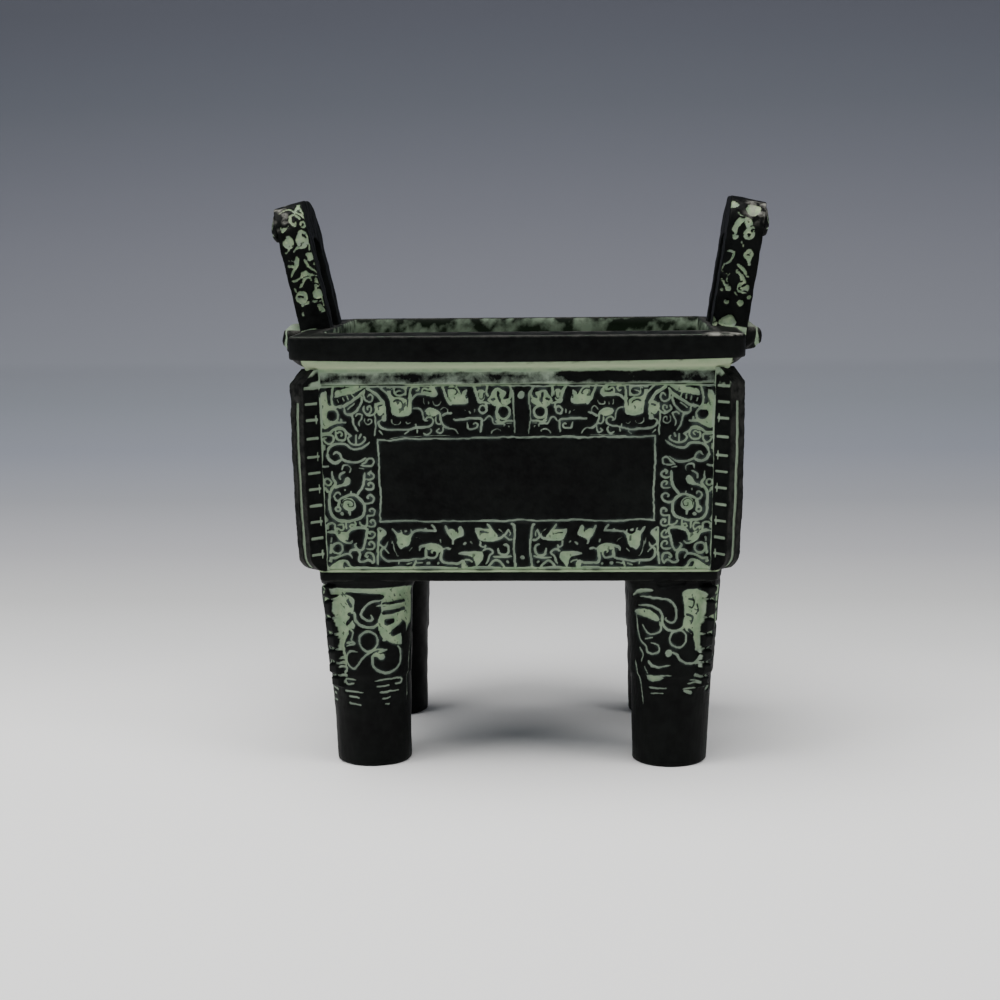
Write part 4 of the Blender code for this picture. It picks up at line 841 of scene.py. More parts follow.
def flange_piece(name, sx, sy, seed):
    """Corner flange: a grooved end face and short marks on both sides."""
    step = 0.28
    z = np.arange(FLANGE_FOOT, FLANGE_TOP + step, step)
    z[-1] = FLANGE_TOP
    half = FLANGE_THICKNESS / 2
    root = -5.2
    side = np.linspace(root, FLANGE_REACH, 34)
    end = np.linspace(-half, half, 26)
    bevel = 0.35
    d = np.concatenate([side, np.full(len(end) - 2, FLANGE_REACH), side[::-1]])
    across = np.concatenate([np.full(len(side), -half), end[1:-1], np.full(len(side), half)])
    corner_pull = np.clip(bevel - np.minimum(FLANGE_REACH - d, half - np.abs(across) + 9.0 * (d < FLANGE_REACH)), 0, bevel)
    D, Z = np.meshgrid(d, z)
    A = np.meshgrid(across, z)[0]
    slant = np.clip((Z - (FLANGE_TOP - FLANGE_SLANT)) / FLANGE_SLANT, 0.0, 1.0)
    bend = FLANGE_REACH + 1.4
    low = np.clip((FLANGE_FOOT + bend - Z) / bend, 0.0, 1.0)
    reach = FLANGE_REACH - slant * FLANGE_REACH * 0.95 - (1.0 - np.sqrt(1.0 - low * low)) * bend * 0.8
    on_end = np.abs(np.meshgrid(d, z)[0] - FLANGE_REACH) < 1e-6
    swell = smooth((FIELD_TOP - Z) / 15.0) * smooth((Z - FLANGE_FOOT) / 20.0)
    reach = reach + (FLANGE_SPREAD + FLANGE_SWELL * swell) * (1.0 - slant) * smooth((Z - FLANGE_FOOT) / 3.0)
    span = (D - root) / (FLANGE_REACH - root)
    D = root + span * (reach - root)
    cut = np.zeros_like(D)
    groove = smooth(0.5 - (np.abs(A) - 0.55) / 0.28) * on_end
    groove *= smooth((Z - FLANGE_FOOT - 0.4) / 0.8) * smooth((FLANGE_TOP - FLANGE_SLANT - 4.2 - Z) / 0.8)
    marks = np.zeros_like(D)
    on_side = np.abs(np.abs(A) - half) < 1e-6
    out_from_root = D - (FLANGE_REACH * 0.5 - half)
    for i, level in enumerate(FLANGE_LEVELS):
        dash = smooth(0.5 - (np.abs(Z - level) - 0.30) / 0.25)
        dash *= smooth(0.5 - (np.abs(D - 1.15) - 1.85) / 0.3)
        marks = np.maximum(marks, dash)
        if i % 2 == 0 and i < len(FLANGE_LEVELS) - 2:
            bar = smooth(0.5 - (np.abs(D + 0.15) - 0.20) / 0.22) * smooth(0.5 - (np.abs(Z - level) - 1.1) / 0.3)
            marks = np.maximum(marks, bar)
    marks = marks * on_side * (out_from_root > -50.0)
    rough = Waves(seed, 1.3)(D, Z, A) * 0.02 + Waves(seed + 1, 6.0)(D, Z, A) * 0.05
    D = D + 0.15 - np.where(on_end, groove * 0.7 - rough * 0.8, 0.0) - np.meshgrid(corner_pull, z)[0] * 0.6
    A = A * (1.0 - np.meshgrid(corner_pull, z)[0] * 0.12) - np.sign(A) * (marks * 0.40 - rough) * on_side
    lean = np.clip((FIELD_TOP - Z) / (FIELD_TOP - FIELD_FOOT), 0.0, 1.0) * FOOT_INSET
    root_half = 0.5 ** 0.5
    x = BODY_HALF_X - lean - BODY_CORNER * 0.3 + (D - A) * root_half
    y = BODY_HALF_Y - lean - BODY_CORNER * 0.3 + (D + A) * root_half
    points = np.stack([sx * x, sy * y, Z], -1).reshape(-1, 3)
    recess = np.maximum(groove, marks)
    near_wall = smooth((-0.85 - D) / 0.5) * on_side
    relief = 1.0 - np.maximum(recess, near_wall * 0.85)
    head = smooth((Z - FLANGE_HEAD) / 0.7) * on_side
    mottled = 0.66 + 0.26 * Waves(seed + 2, 3.0)(D, Z, A)
    relief = relief + (np.minimum(relief, mottled) - relief) * head
    values = {"relief": relief, "pool": np.full_like(relief, 0.35),
              "wear": np.meshgrid(corner_pull, z)[0] * 0.15, "painted_shade": np.zeros_like(relief)}
    rows, columns = D.shape
    centre = (sx * (BODY_HALF_X - 3.0), sy * (BODY_HALF_Y - 3.0), 75.0)
    return closed_grid(name, points, rows, columns, values, centre)


# Half of a leg's mask, in millimetres of arc from the nose and of height.
MASK = (
    (AREA, ((1, 44.2), (6.6, 44.3), (6.5, 41.4), (5.8, 38.2), (6.9, 36.1), (4.2, 34.5), (2.6, 31.4),
     (1.8, 29.5), (0.6, 32.6), (0.8, 38.4))),
    (AREA, ((11, 46.5), (25.7, 44.9), (24.8, 37.1), (21.4, 34.2), (20.1, 30.8), (16.9, 31.2), (13.5, 33),
     (12.4, 35.3), (12.4, 37.8), (13.5, 39.9), (13.4, 42.4), (14.9, 44), (11.7, 44.9))),
    (AREA, ((-4.7, 45.5), (2.7, 45.8), (11, 46.5), (25.6, 45.3), (26, 42.7), (13.8, 44.5), (8.8, 44.9),
     (5.1, 45.1), (-4, 43.8))),
    (RAISED, ((13.8, 41.6), (21.1, 42.1)), 1.3, 0.88),
    (RAISED, ((13.7, 39.6), (21.2, 40.1)), 1.2, 0.88),
    (RAISED, ((16.5, 34.2), (20.3, 35.8)), 1.8, 2.7),
    (RAISED, ((20.3, 35.8), (20.7, 30.7)), 2.2),
    (RAISED, ((14.8, 37.2), (16.5, 37.4)), 1.8, 1.3),
    (RAISED, ((4.7, 39.5), (5.9, 38.8), (4.2, 36.8)), 0.98, 0.88),
    (RAISED, ((4.9, 42.8), (5.6, 41.4)), 0.98, 0.72),
    (RAISED, ((5.5, 34.9), (5.8, 33.1)), 2.2, 1.8),
    (LINE, ((14, 42.9), (10.9, 42.5), (9.1, 41.1), (8.2, 39.3), (9.6, 37.8), (11.1, 38.1),
     (10.8, 39.3)), 0.55),
    (RING, ((9.7, 32.6), (12.1, 32.5)), 0.55),
    (LINE, ((14.5, 30.1), (11.9, 30.5), (9.5, 29.6), (7.9, 28.1), (5.6, 25.5), (3.8, 26.3), (3.2, 28.2),
     (4.4, 29.8), (6.8, 29.9)), 0.55, 0.5),
    (LINE, ((14.5, 30.1), (11.8, 29.5), (10.7, 28.5), (11, 25.9), (13.8, 24.2), (16.9, 24.6), (19, 26.6),
     (19, 29.5), (17.9, 30.7)), 0.66, 0.61),
    (DOT, ((13.2, 28.4),), 0.89),
    (LINE, ((11.1, 29.3), (13.4, 28.4)), 0.76, 1),
    (LINE, ((12.2, 41.4), (21.1, 41.4)), 0.5, 0.46),
    (LINE, ((13.5, 32.7), (16, 32.8), (17.9, 31.5)), 0.76, 0.61),
    (LINE, ((3.7, 31.9), (5.9, 32.4)), 0.66, 0.5),
    (LINE, ((5.4, 22.4), (2.2, 22.4), (2.5, 21.1), (4.9, 21.4)), 0.5, 0.46),
    (LINE, ((11.2, 22.3), (19.4, 22.3), (19.6, 21), (17.2, 20.9)), 0.46),
    (LINE, ((11.5, 20.8), (15.4, 20.8)), 0.41, 0.36),
    (LINE, ((1.6, 19.3), (4.6, 19.3), (7.5, 19.2)), 0.55, 0.36),
    (LINE, ((12.3, 19.3), (18.9, 19.1)), 0.55, 0.36),
    (LINE, ((3, 18), (6.4, 17.7)), 0.5, 0.36),
    (LINE, ((13, 17.6), (15.8, 17.8)), 0.55, 0.41),
    (LINE, ((2.8, 16.2), (6.9, 16)), 0.5, 0.36),
    (LINE, ((13.9, 16.2), (15.4, 16.1)), 0.41, 0.3),
    (LINE, ((24.8, 36.3), (23.6, 31), (22.9, 26), (22.6, 21), (22.6, 16)), 0.36, 0.3),
    (LINE, ((-1.9, 38), (1.8, 38.4)), 0.25, 0.86),
    (LINE, ((-1.6, 34.1), (1.8, 34.2)), 0.25, 0.86),
    (LINE, ((-2.5, 30), (1.6, 30.5)), 0.3, 0.76),
    (LINE, ((0.4, 27.9), (2.9, 28.2)), 0.41, 0.86),
    (LINE, ((-0.6, 25.8), (3.1, 25.7), (2.1, 24.1)), 0.5, 0.61),
    (LINE, ((6.4, 40.0), (7.0, 37.5), (9.0, 36.1), (11.2, 36.1), (12.7, 37.2)), 0.73, 0.66),
    (LINE, ((2.4, 39.7), (2.1, 35.3), (2.4, 31.0), (2.8, 27.9), (2.8, 24.7)), 1.46, 0.37),
    (LINE, ((4.5, 36.1), (5.8, 34.9), (5.0, 33.0), (6.0, 32.0), (3.5, 31.1)), 0.48, 0.37),
)

# The right legs' mask, which is drawn differently.
MASK_RIGHT = (
    (AREA, ((7.6, 45.2), (4.7, 45.6), (0.9, 44.7), (1.5, 43.0), (0.9, 40.6), (0.8, 37.5), (0.2, 34.3),
     (0.2, 31.9), (1.2, 28.7), (3.0, 30.7), (3.3, 33.1), (4.9, 34.8), (6.4, 35.4), (5.9, 37.2), (6.4,
     39.9), (6.6, 42.6))),
    (AREA, ((21.7, 39.4), (16.8, 40.6), (14.0, 39.8), (12.4, 38.2), (13.2, 37.4), (15.4, 38.0), (19.0,
     38.5))),
    (AREA, ((13.6, 47.8), (6.6, 48.3), (6.3, 47.1), (7.9, 46.4), (13.0, 46.4))),
    (AREA, ((3.1, 48.6), (-2.3, 47.8), (-2.9, 45.5), (-0.0, 46.5), (2.5, 46.6))),
    (AREA, ((19.4, 45.0), (14.5, 45.9), (14.3, 45.1), (18.9, 44.1), (22.2, 42.5))),
    (AREA, ((16.7, 23.6), (14.8, 23.2), (11.3, 23.3), (11.8, 22.5), (16.5, 21.6))),
    (AREA, ((1.2, 25.0), (0.7, 26.5), (-2.0, 26.7), (-1.5, 25.0))),
    (AREA, ((6.1, 20.0), (2.6, 19.4), (2.8, 18.5), (4.9, 18.9))),
    (RAISED, ((5.6, 43.2), (4.1, 42.7), (4.4, 41.0), (5.6, 41.4)), 0.51, 0.44),
    (RAISED, ((3.2, 41.8), (2.7, 39.6)), 0.44, 0.37),
    (RAISED, ((5.9, 39.5), (4.2, 38.6), (4.5, 36.9)), 0.58, 0.51),
    (RAISED, ((5.2, 35.6), (3.9, 34.3), (4.3, 33.0)), 0.80, 0.66),
    (LINE, ((18.3, 43.5), (14.5, 43.5), (11.2, 43.3), (9.3, 42.1), (8.4, 40.2), (8.6, 38.2), (9.7,
     37.4), (11.1, 38.1), (10.8, 38.8)), 0.55, 0.44),
    (LINE, ((18.9, 41.1), (15.2, 41.4), (13.0, 40.7), (11.9, 39.3), (12.0, 37.2), (10.7, 35.5), (8.3,
     35.2), (6.5, 36.2), (6.3, 38.7)), 0.48, 0.80),
    (LINE, ((20.0, 39.0), (19.7, 35.5), (18.8, 32.5), (16.8, 30.9), (16.4, 29.4), (14.3, 29.1), (12.8,
     29.9), (13.2, 31.2), (15.2, 31.8)), 0.55, 0.44),
    (LINE, ((18.0, 36.4), (16.9, 35.0), (15.5, 34.1), (13.5, 34.3), (12.4, 35.6), (12.7, 37.5)), 0.44,
     0.58),
    (LINE, ((17.0, 32.8), (14.5, 33.2)), 0.44, 0.33),
    (RING, ((7.9, 33.1), (5.7, 33.1)), 0.48),
    (DOT, ((10.2, 29.4),), 0.91),
    (LINE, ((9.3, 29.6), (8.3, 29.2), (7.2, 28.0), (5.4, 27.0), (3.5, 26.7), (1.9, 27.6), (1.5, 29.2)),
     0.58, 0.44),
    (LINE, ((16.1, 27.1), (14.8, 26.2), (12.7, 25.8), (9.7, 26.3)), 0.80, 0.29),
    (LINE, ((19.2, 30.5), (17.9, 28.8), (18.2, 26.7)), 0.40, 0.33),
    (LINE, ((17.1, 25.7), (16.1, 23.9)), 0.37, 0.33),
    (LINE, ((16.6, 23.3), (9.2, 23.7)), 0.40, 0.33),
    (LINE, ((4.1, 22.3), (-4.6, 21.3)), 0.33, 0.33),
    (LINE, ((16.2, 20.2), (10.4, 20.4)), 0.44, 0.33),
    (LINE, ((5.9, 20.1), (1.6, 20.1)), 0.33, 0.33),
    (LINE, ((15.6, 18.8), (11.3, 19.1)), 0.37, 0.29),
    (LINE, ((20.9, 26.9), (20.0, 23.3), (19.1, 19.9), (18.2, 15.5)), 0.66, 0.37),
    (LINE, ((2.8, 44.2), (-0.6, 44.0)), 0.37, 0.44),
    (LINE, ((2.4, 39.6), (-1.3, 39.2)), 0.37, 0.44),
    (LINE, ((2.1, 35.5), (-1.9, 34.9)), 0.37, 0.44),
    (LINE, ((1.8, 31.8), (-2.1, 31.0)), 0.37, 0.44),
)


def leg_relief(seed, step, mask):
    """Relief of one leg over (arc from the outer diagonal, height)."""
    half_turn = TAU / 2 * LEG_TOP_RADIUS
    arcs = np.concatenate([
        np.linspace(-half_turn, -MASK_HALF_WIDTH, 10, endpoint=False),
        np.arange(-MASK_HALF_WIDTH, MASK_HALF_WIDTH, step),
        np.linspace(MASK_HALF_WIDTH, half_turn, 10, endpoint=False),
    ])
    heights = np.concatenate([
        np.array([0.0, 0.12, 0.35, 0.7]), np.linspace(1.6, MASK_FOOT, 10, endpoint=False),
        np.arange(MASK_FOOT, BODY_FOOT + 1.8, step),
    ])
    field = Relief(arcs, heights, seed=seed, warp=0.08)
    for hand in (-1, 1):
        def on_side(u, v, hand=hand):
            return hand * u, v
        field.draw(mask, on_side)
    half = NOSE_WIDTH / 2
    field.area([(-half, NOSE_FOOT), (half, NOSE_FOOT), (half, MASK_TOP), (-half, MASK_TOP)], level=1.0)
    for z in NOSE_NOTCHES:
        for hand in (-1, 1):
            field.stroke([(hand * (half + 0.9), z + 0.1), (hand * 0.35, z - 0.1)], 0.95, 0.30, round_ends=1.0)
    return field


def leg_piece(name, sx, sy, step, seed):
    field = leg_relief(seed, step, MASK if sx < 0 else MASK_RIGHT)
    arc, z = field.U, field.V
    carved = smooth((MASK_HALF_WIDTH - np.abs(arc)) / 2.5) * smooth((z - NOSE_FOOT - 2.2) / 1.5)
    carved *= smooth((MASK_TOP + 1.6 - z) / 1.6)
    height = field.form()
    nose = smooth(0.5 - (np.abs(arc) - NOSE_WIDTH / 2) / 0.45)
    nose *= smooth((z - NOSE_FOOT) / 0.9) * smooth((MASK_TOP + 0.8 - z) / 0.8)
    share = np.clip(z / BODY_FOOT, 0.0, 1.0)
    radius = LEG_FOOT_RADIUS + (LEG_TOP_RADIUS - LEG_FOOT_RADIUS) * share ** LEG_SWELL
    radius = radius + LEG_FLARE * np.clip(1.0 - (BODY_FOOT - z) / (3.0 * LEG_FLARE), 0.0, 1.0)
    turn = arc / LEG_TOP_RADIUS + TAU / 8
    inner = np.maximum(smooth(-np.cos(turn) / 0.7), smooth(-np.sin(turn) / 0.7))
    radius = radius + inner * INNER_FLARE * np.clip(1.0 - (BODY_FOOT - z) / INNER_FLARE_DROP, 0.0, 1.0) ** 2
    rough = Waves(seed + 3, 1.2)(arc, z) * 0.014 + Waves(seed + 4, 7.0)(arc, z) * 0.05
    edge = np.clip((0.6 - z) / 0.6, 0.0, 1.0) ** 2 * 0.55
    reach = radius + (height - 1.0) * RELIEF + carved * RELIEF * 0.8 + rough - edge
    scallop = np.ones_like(z)
    for notch in NOSE_NOTCHES:
        scallop = np.minimum(scallop, smooth(np.abs(z - notch) / 0.9))
    reach = reach + nose * NOSE_REACH * (0.35 + 0.60 * np.minimum(scallop, 0.3 + 0.7 * height))
    reach = np.where(z < 0.01, np.minimum(reach, LEG_FOOT_RADIUS - 0.5), reach)
    centre = LEG_INSET + LEG_LEAN * (1.0 - z / BODY_FOOT)
    x = RIM_HALF_X - centre + reach * np.cos(turn)
    y = RIM_HALF_Y - centre + reach * np.sin(turn)
    points = np.stack([sx * x, sy * y, z], -1).reshape(-1, 3)
    relief, pool, dust = pigment(field, step)
    ledge = smooth((z - MASK_TOP + 0.2) / 0.5)
    relief = relief + (LEDGE_LEVEL - relief) * ledge
    relief = np.where(z > BODY_FOOT - 0.3, 1.0, relief)
    off_nose = smooth((np.abs(arc) - NOSE_WIDTH / 2 - 0.3) / 0.8)
    dust = dust * smooth((z - 19.5) / 3.0) * off_nose * (1.0 - ledge)
    values = {"relief": relief, "pool": pool * (1.0 - ledge), "dust": dust}
    rows, columns = arc.shape
    middle = (sx * (RIM_HALF_X - LEG_INSET), sy * (RIM_HALF_Y - LEG_INSET), 25.0)
    return closed_grid(name, points, rows, columns, values, middle)


def handle_frame(side):
    """Map (along Y, up the handle, outwards) to space, with the handle's lean."""
    lean = HANDLE_SIDES[side]["lean"]
    foot = RIM_HALF_X - HANDLE_SIDES[side]["inset"]

    def place(y, up, out):
        x = foot + up * math.sin(lean) + out * math.cos(lean)
        return side * x, y, RIM_TOP + up * math.cos(lean) - out * math.sin(lean)
    return place


def handle_edges(count):
    """Matching points of the inverted U's outer and inner edges, foot to foot."""
    half, gap = HANDLE_WIDTH / 2, HANDLE_WIDTH / 2 - HANDLE_BAR
    root = -1.6
    bend = gap * 0.9
    inner_top = HANDLE_HEIGHT - HANDLE_BAR * 1.25

    def arch(half_span, corner, top, n):
        straight = np.linspace(root, top - corner, n)
        turn = np.linspace(0.0, TAU / 4, n)
        level = np.linspace(half_span - corner, 0.0, n)
        y = np.concatenate([np.full(n, half_span), half_span - corner + corner * np.cos(turn[1:]), level[1:]])
        z = np.concatenate([straight, top - corner + corner * np.sin(turn[1:]), np.full(n - 1, top)])
        return np.concatenate([y, -y[::-1][1:]]), np.concatenate([z, z[::-1][1:]])

    outer = arch(half, HANDLE_CORNER, HANDLE_HEIGHT, count)
    inner = arch(gap, bend, inner_top, count)
    return outer, inner


# The carving on the handles' narrow edges, in millimetres outwards and up.
HANDLE_LEFT = (
    (DOT, ((1.4, 23.4),), 1.31),
    (DOT, ((-2.2, 23.2),), 1.46),
    (AREA, ((-1.8, 25.7), (-3.1, 25.4), (-4.2, 23.9), (-3.4, 22.3), (-0.8, 23.4))),
    (RAISED, ((-2.6, 24.5), (-3.3, 23.6)), 0.55, 0.4),
    (AREA, ((2.6, 28), (0.3, 27.8), (1.1, 26.4), (2.5, 25.8))),
    (RAISED, ((1.5, 27.9), (1.5, 27.7)), 1.26),
    (LINE, ((0.1, 29.7), (-1.4, 29.9), (-3, 28.6)), 0.65, 0.55),
    (LINE, ((-0.2, 29.6), (-0.2, 28.3), (-1.1, 27.1), (-1.6, 27.9)), 0.7, 0.6),
    (RING, ((-3.3, 27.1), (-3.9, 27)), 0.45),
    (LINE, ((2.5, 31), (1.5, 31.4), (-0.3, 31.5), (-2, 30.4), (-3.8, 29.1), (-4.6, 28.2),
     (-4.5, 26.2)), 0.5, 0.45),
    (LINE, ((-2.2, 32.3), (-3, 31), (-3.9, 29.6)), 0.6, 0.45),
    (LINE, ((-2, 30.8), (-2.5, 32.2)), 1, 0.6),
    (DOT, ((-5.7, 30.2),), 0.45),
    (LINE, ((0.3, 19.3), (1, 17.2), (2.7, 14.9)), 1, 0.3),
    (LINE, ((2.4, 19), (1.1, 18.4)), 0.5),
    (LINE, ((2.8, 17.6), (1.6, 17.2)), 0.45),
    (DOT, ((-3.1, 18.9),), 1.05),
    (LINE, ((-1.6, 18.4), (-2.2, 16.4), (-3.9, 14.7)), 0.75, 0.3),
    (LINE, ((-4.7, 17.7), (-3.6, 16.8)), 0.45),
    (LINE, ((2.7, 13.7), (0.7, 14), (-0.5, 15.3), (-1.5, 14.5), (-3.9, 13.5)), 0.6, 0.45),
    (DOT, ((-0.4, 14.9),), 0.65),
    (LINE, ((1.2, 11.6), (-0.1, 13.3), (-1.2, 13.6), (-2, 12.3)), 0.6, 0.5),
    (DOT, ((1.4, 9.1),), 1.46),
    (LINE, ((1.7, 7.1), (-0.4, 7.7)), 0.75, 0.55),
    (DOT, ((-2.9, 9.2),), 1.15),
    (LINE, ((-3.1, 12.7), (-2.8, 10.2)), 0.85, 1.26),
    (LINE, ((-3.8, 11.2), (-4.8, 11.1)), 0.45, 0.35),
    (LINE, ((-0.9, 8), (-1.8, 7.4), (-3.5, 7.3)), 0.5, 0.4),
    (AREA, ((-1.9, 6.3), (-2.9, 6.5), (-3.7, 5.2), (-3.8, 4.2), (-2.3, 4.4), (-2.2, 5.4))),
    (LINE, ((-3.6, 8.7), (-3.7, 7), (-3.8, 5.6)), 0.35),
    (LINE, ((0.8, 20.9), (-0.5, 21.8), (-2.7, 21.3)), 0.4),
    (LINE, ((-3.6, 22.2), (-3.5, 20.6)), 0.35),
    (RAISED, ((-1.9, 19.3), (-2.1, 18.6)), 0.65),
    (RAISED, ((2.5, 24.4), (1.8, 24.7)), 0.45),
    (RAISED, ((2.1, 9.7), (0.9, 9.1)), 0.6),
    (RAISED, ((-2.6, 11.9), (-3.7, 11.3)), 0.4),
    (RAISED, ((-2.9, 10.5), (-3.8, 10.3)), 0.35),
    (FAINT, ((2.6, 12), (2.5, 10.8)), 0.55),
    (FAINT, ((2, 5.5), (1.9, 4.5)), 0.6),
    (FAINT, ((1.7, 21.7), (2.7, 20.9)), 0.5),
)
HANDLE_RIGHT = (
    (DOT, ((-3.8, 30.8),), 1.26),
    (DOT, ((1.3, 30.2),), 1.56),
    (LINE, ((-1.1, 27.4), (-2.4, 25.9), (-3, 24.3), (-2.2, 22.8)), 1.15, 1.36),
    (LINE, ((0.1, 27.7), (1, 25.9), (1.1, 23.9)), 1.41, 1.76),
    (DOT, ((1, 23.8),), 1.26),
    (RAISED, ((0.9, 23.9), (1.1, 23.8)), 0.65),
    (RAISED, ((-3.8, 24.2), (-3.1, 23.9)), 0.55, 0.45),
    (LINE, ((-3.6, 19.2), (-1.9, 19.2), (-2.2, 17.4), (-3.6, 15.7)), 0.65, 0.4),
    (DOT, ((1.7, 19),), 1.05),
    (LINE, ((1.8, 18.8), (2.2, 16.4)), 1.51, 0.4),
    (LINE, ((-0.7, 16.2), (1.1, 15.1), (2, 13.8), (2.5, 13.6)), 0.7, 0.45),
    (LINE, ((-0.7, 14.9), (0.8, 13.4), (1.8, 11.8)), 0.6, 1),
    (DOT, ((1.8, 10.5),), 1.31),
    (RAISED, ((1.9, 11.2), (2.7, 11.7)), 0.5, 0.4),
    (DOT, ((-1.8, 10.1),), 0.7),
    (DOT, ((-3.5, 9.6),), 0.45),
    (FAINT, ((-4.6, 14.3), (-2.8, 13.6)), 0.65, 0.5),
    (FAINT, ((-4, 12.2), (-2.5, 10.6)), 0.75, 0.6),
    (FAINT, ((-3.9, 15.7), (-4.5, 14.1)), 0.5, 0.4),
    (DOT, ((-2.1, 6.6),), 0.6),
    (DOT, ((1.6, 6.7),), 0.7),
    (DOT, ((3.6, 8.3),), 0.45),
    (AREA, ((-3.1, 1.8), (-0.8, 3.4), (0.7, 3.4), (1.9, 0.9), (-2.8, -0))),
    (LINE, ((-5.5, 2.9), (-4.7, 1.5), (-3.7, 0.2)), 1, 1.26),
    (RAISED, ((1.2, 26), (2.3, 26.4)), 0.35),
    (RAISED, ((1.3, 24.8), (2.5, 25.3)), 0.35),
    (RAISED, ((1.4, 10.8), (2.1, 11.2)), 0.5),
    (RAISED, ((0.7, 10.1), (1.3, 9.9)), 0.35),
    (RAISED, ((1.3, 19.1), (2, 18.9)), 0.35),
    (FAINT, ((-2.1, 13.8), (-2.6, 12.4), (-1.9, 11), (-1.1, 10.1)), 0.4),
    (FAINT, ((-2.5, 29.1), (-1.3, 28.3), (-0.2, 28.2)), 0.45),
    (FAINT, ((-0.2, 9.2), (0.7, 8.4)), 0.35),
    (FAINT, ((-0.6, 21.9), (0.1, 20.6)), 0.5),
)


def handle_relief(field, side):
    """Draw a handle's table, laid round the bend at its top."""
    bend = HANDLE_HEIGHT - HANDLE_CORNER

    def along(u, v):
        if v > bend:
            v = bend + HANDLE_CORNER * math.asin(min(0.98, (v - bend) / HANDLE_CORNER))
        return u, v
    field.draw(HANDLE_LEFT if side < 0 else HANDLE_RIGHT, along, 1.15)


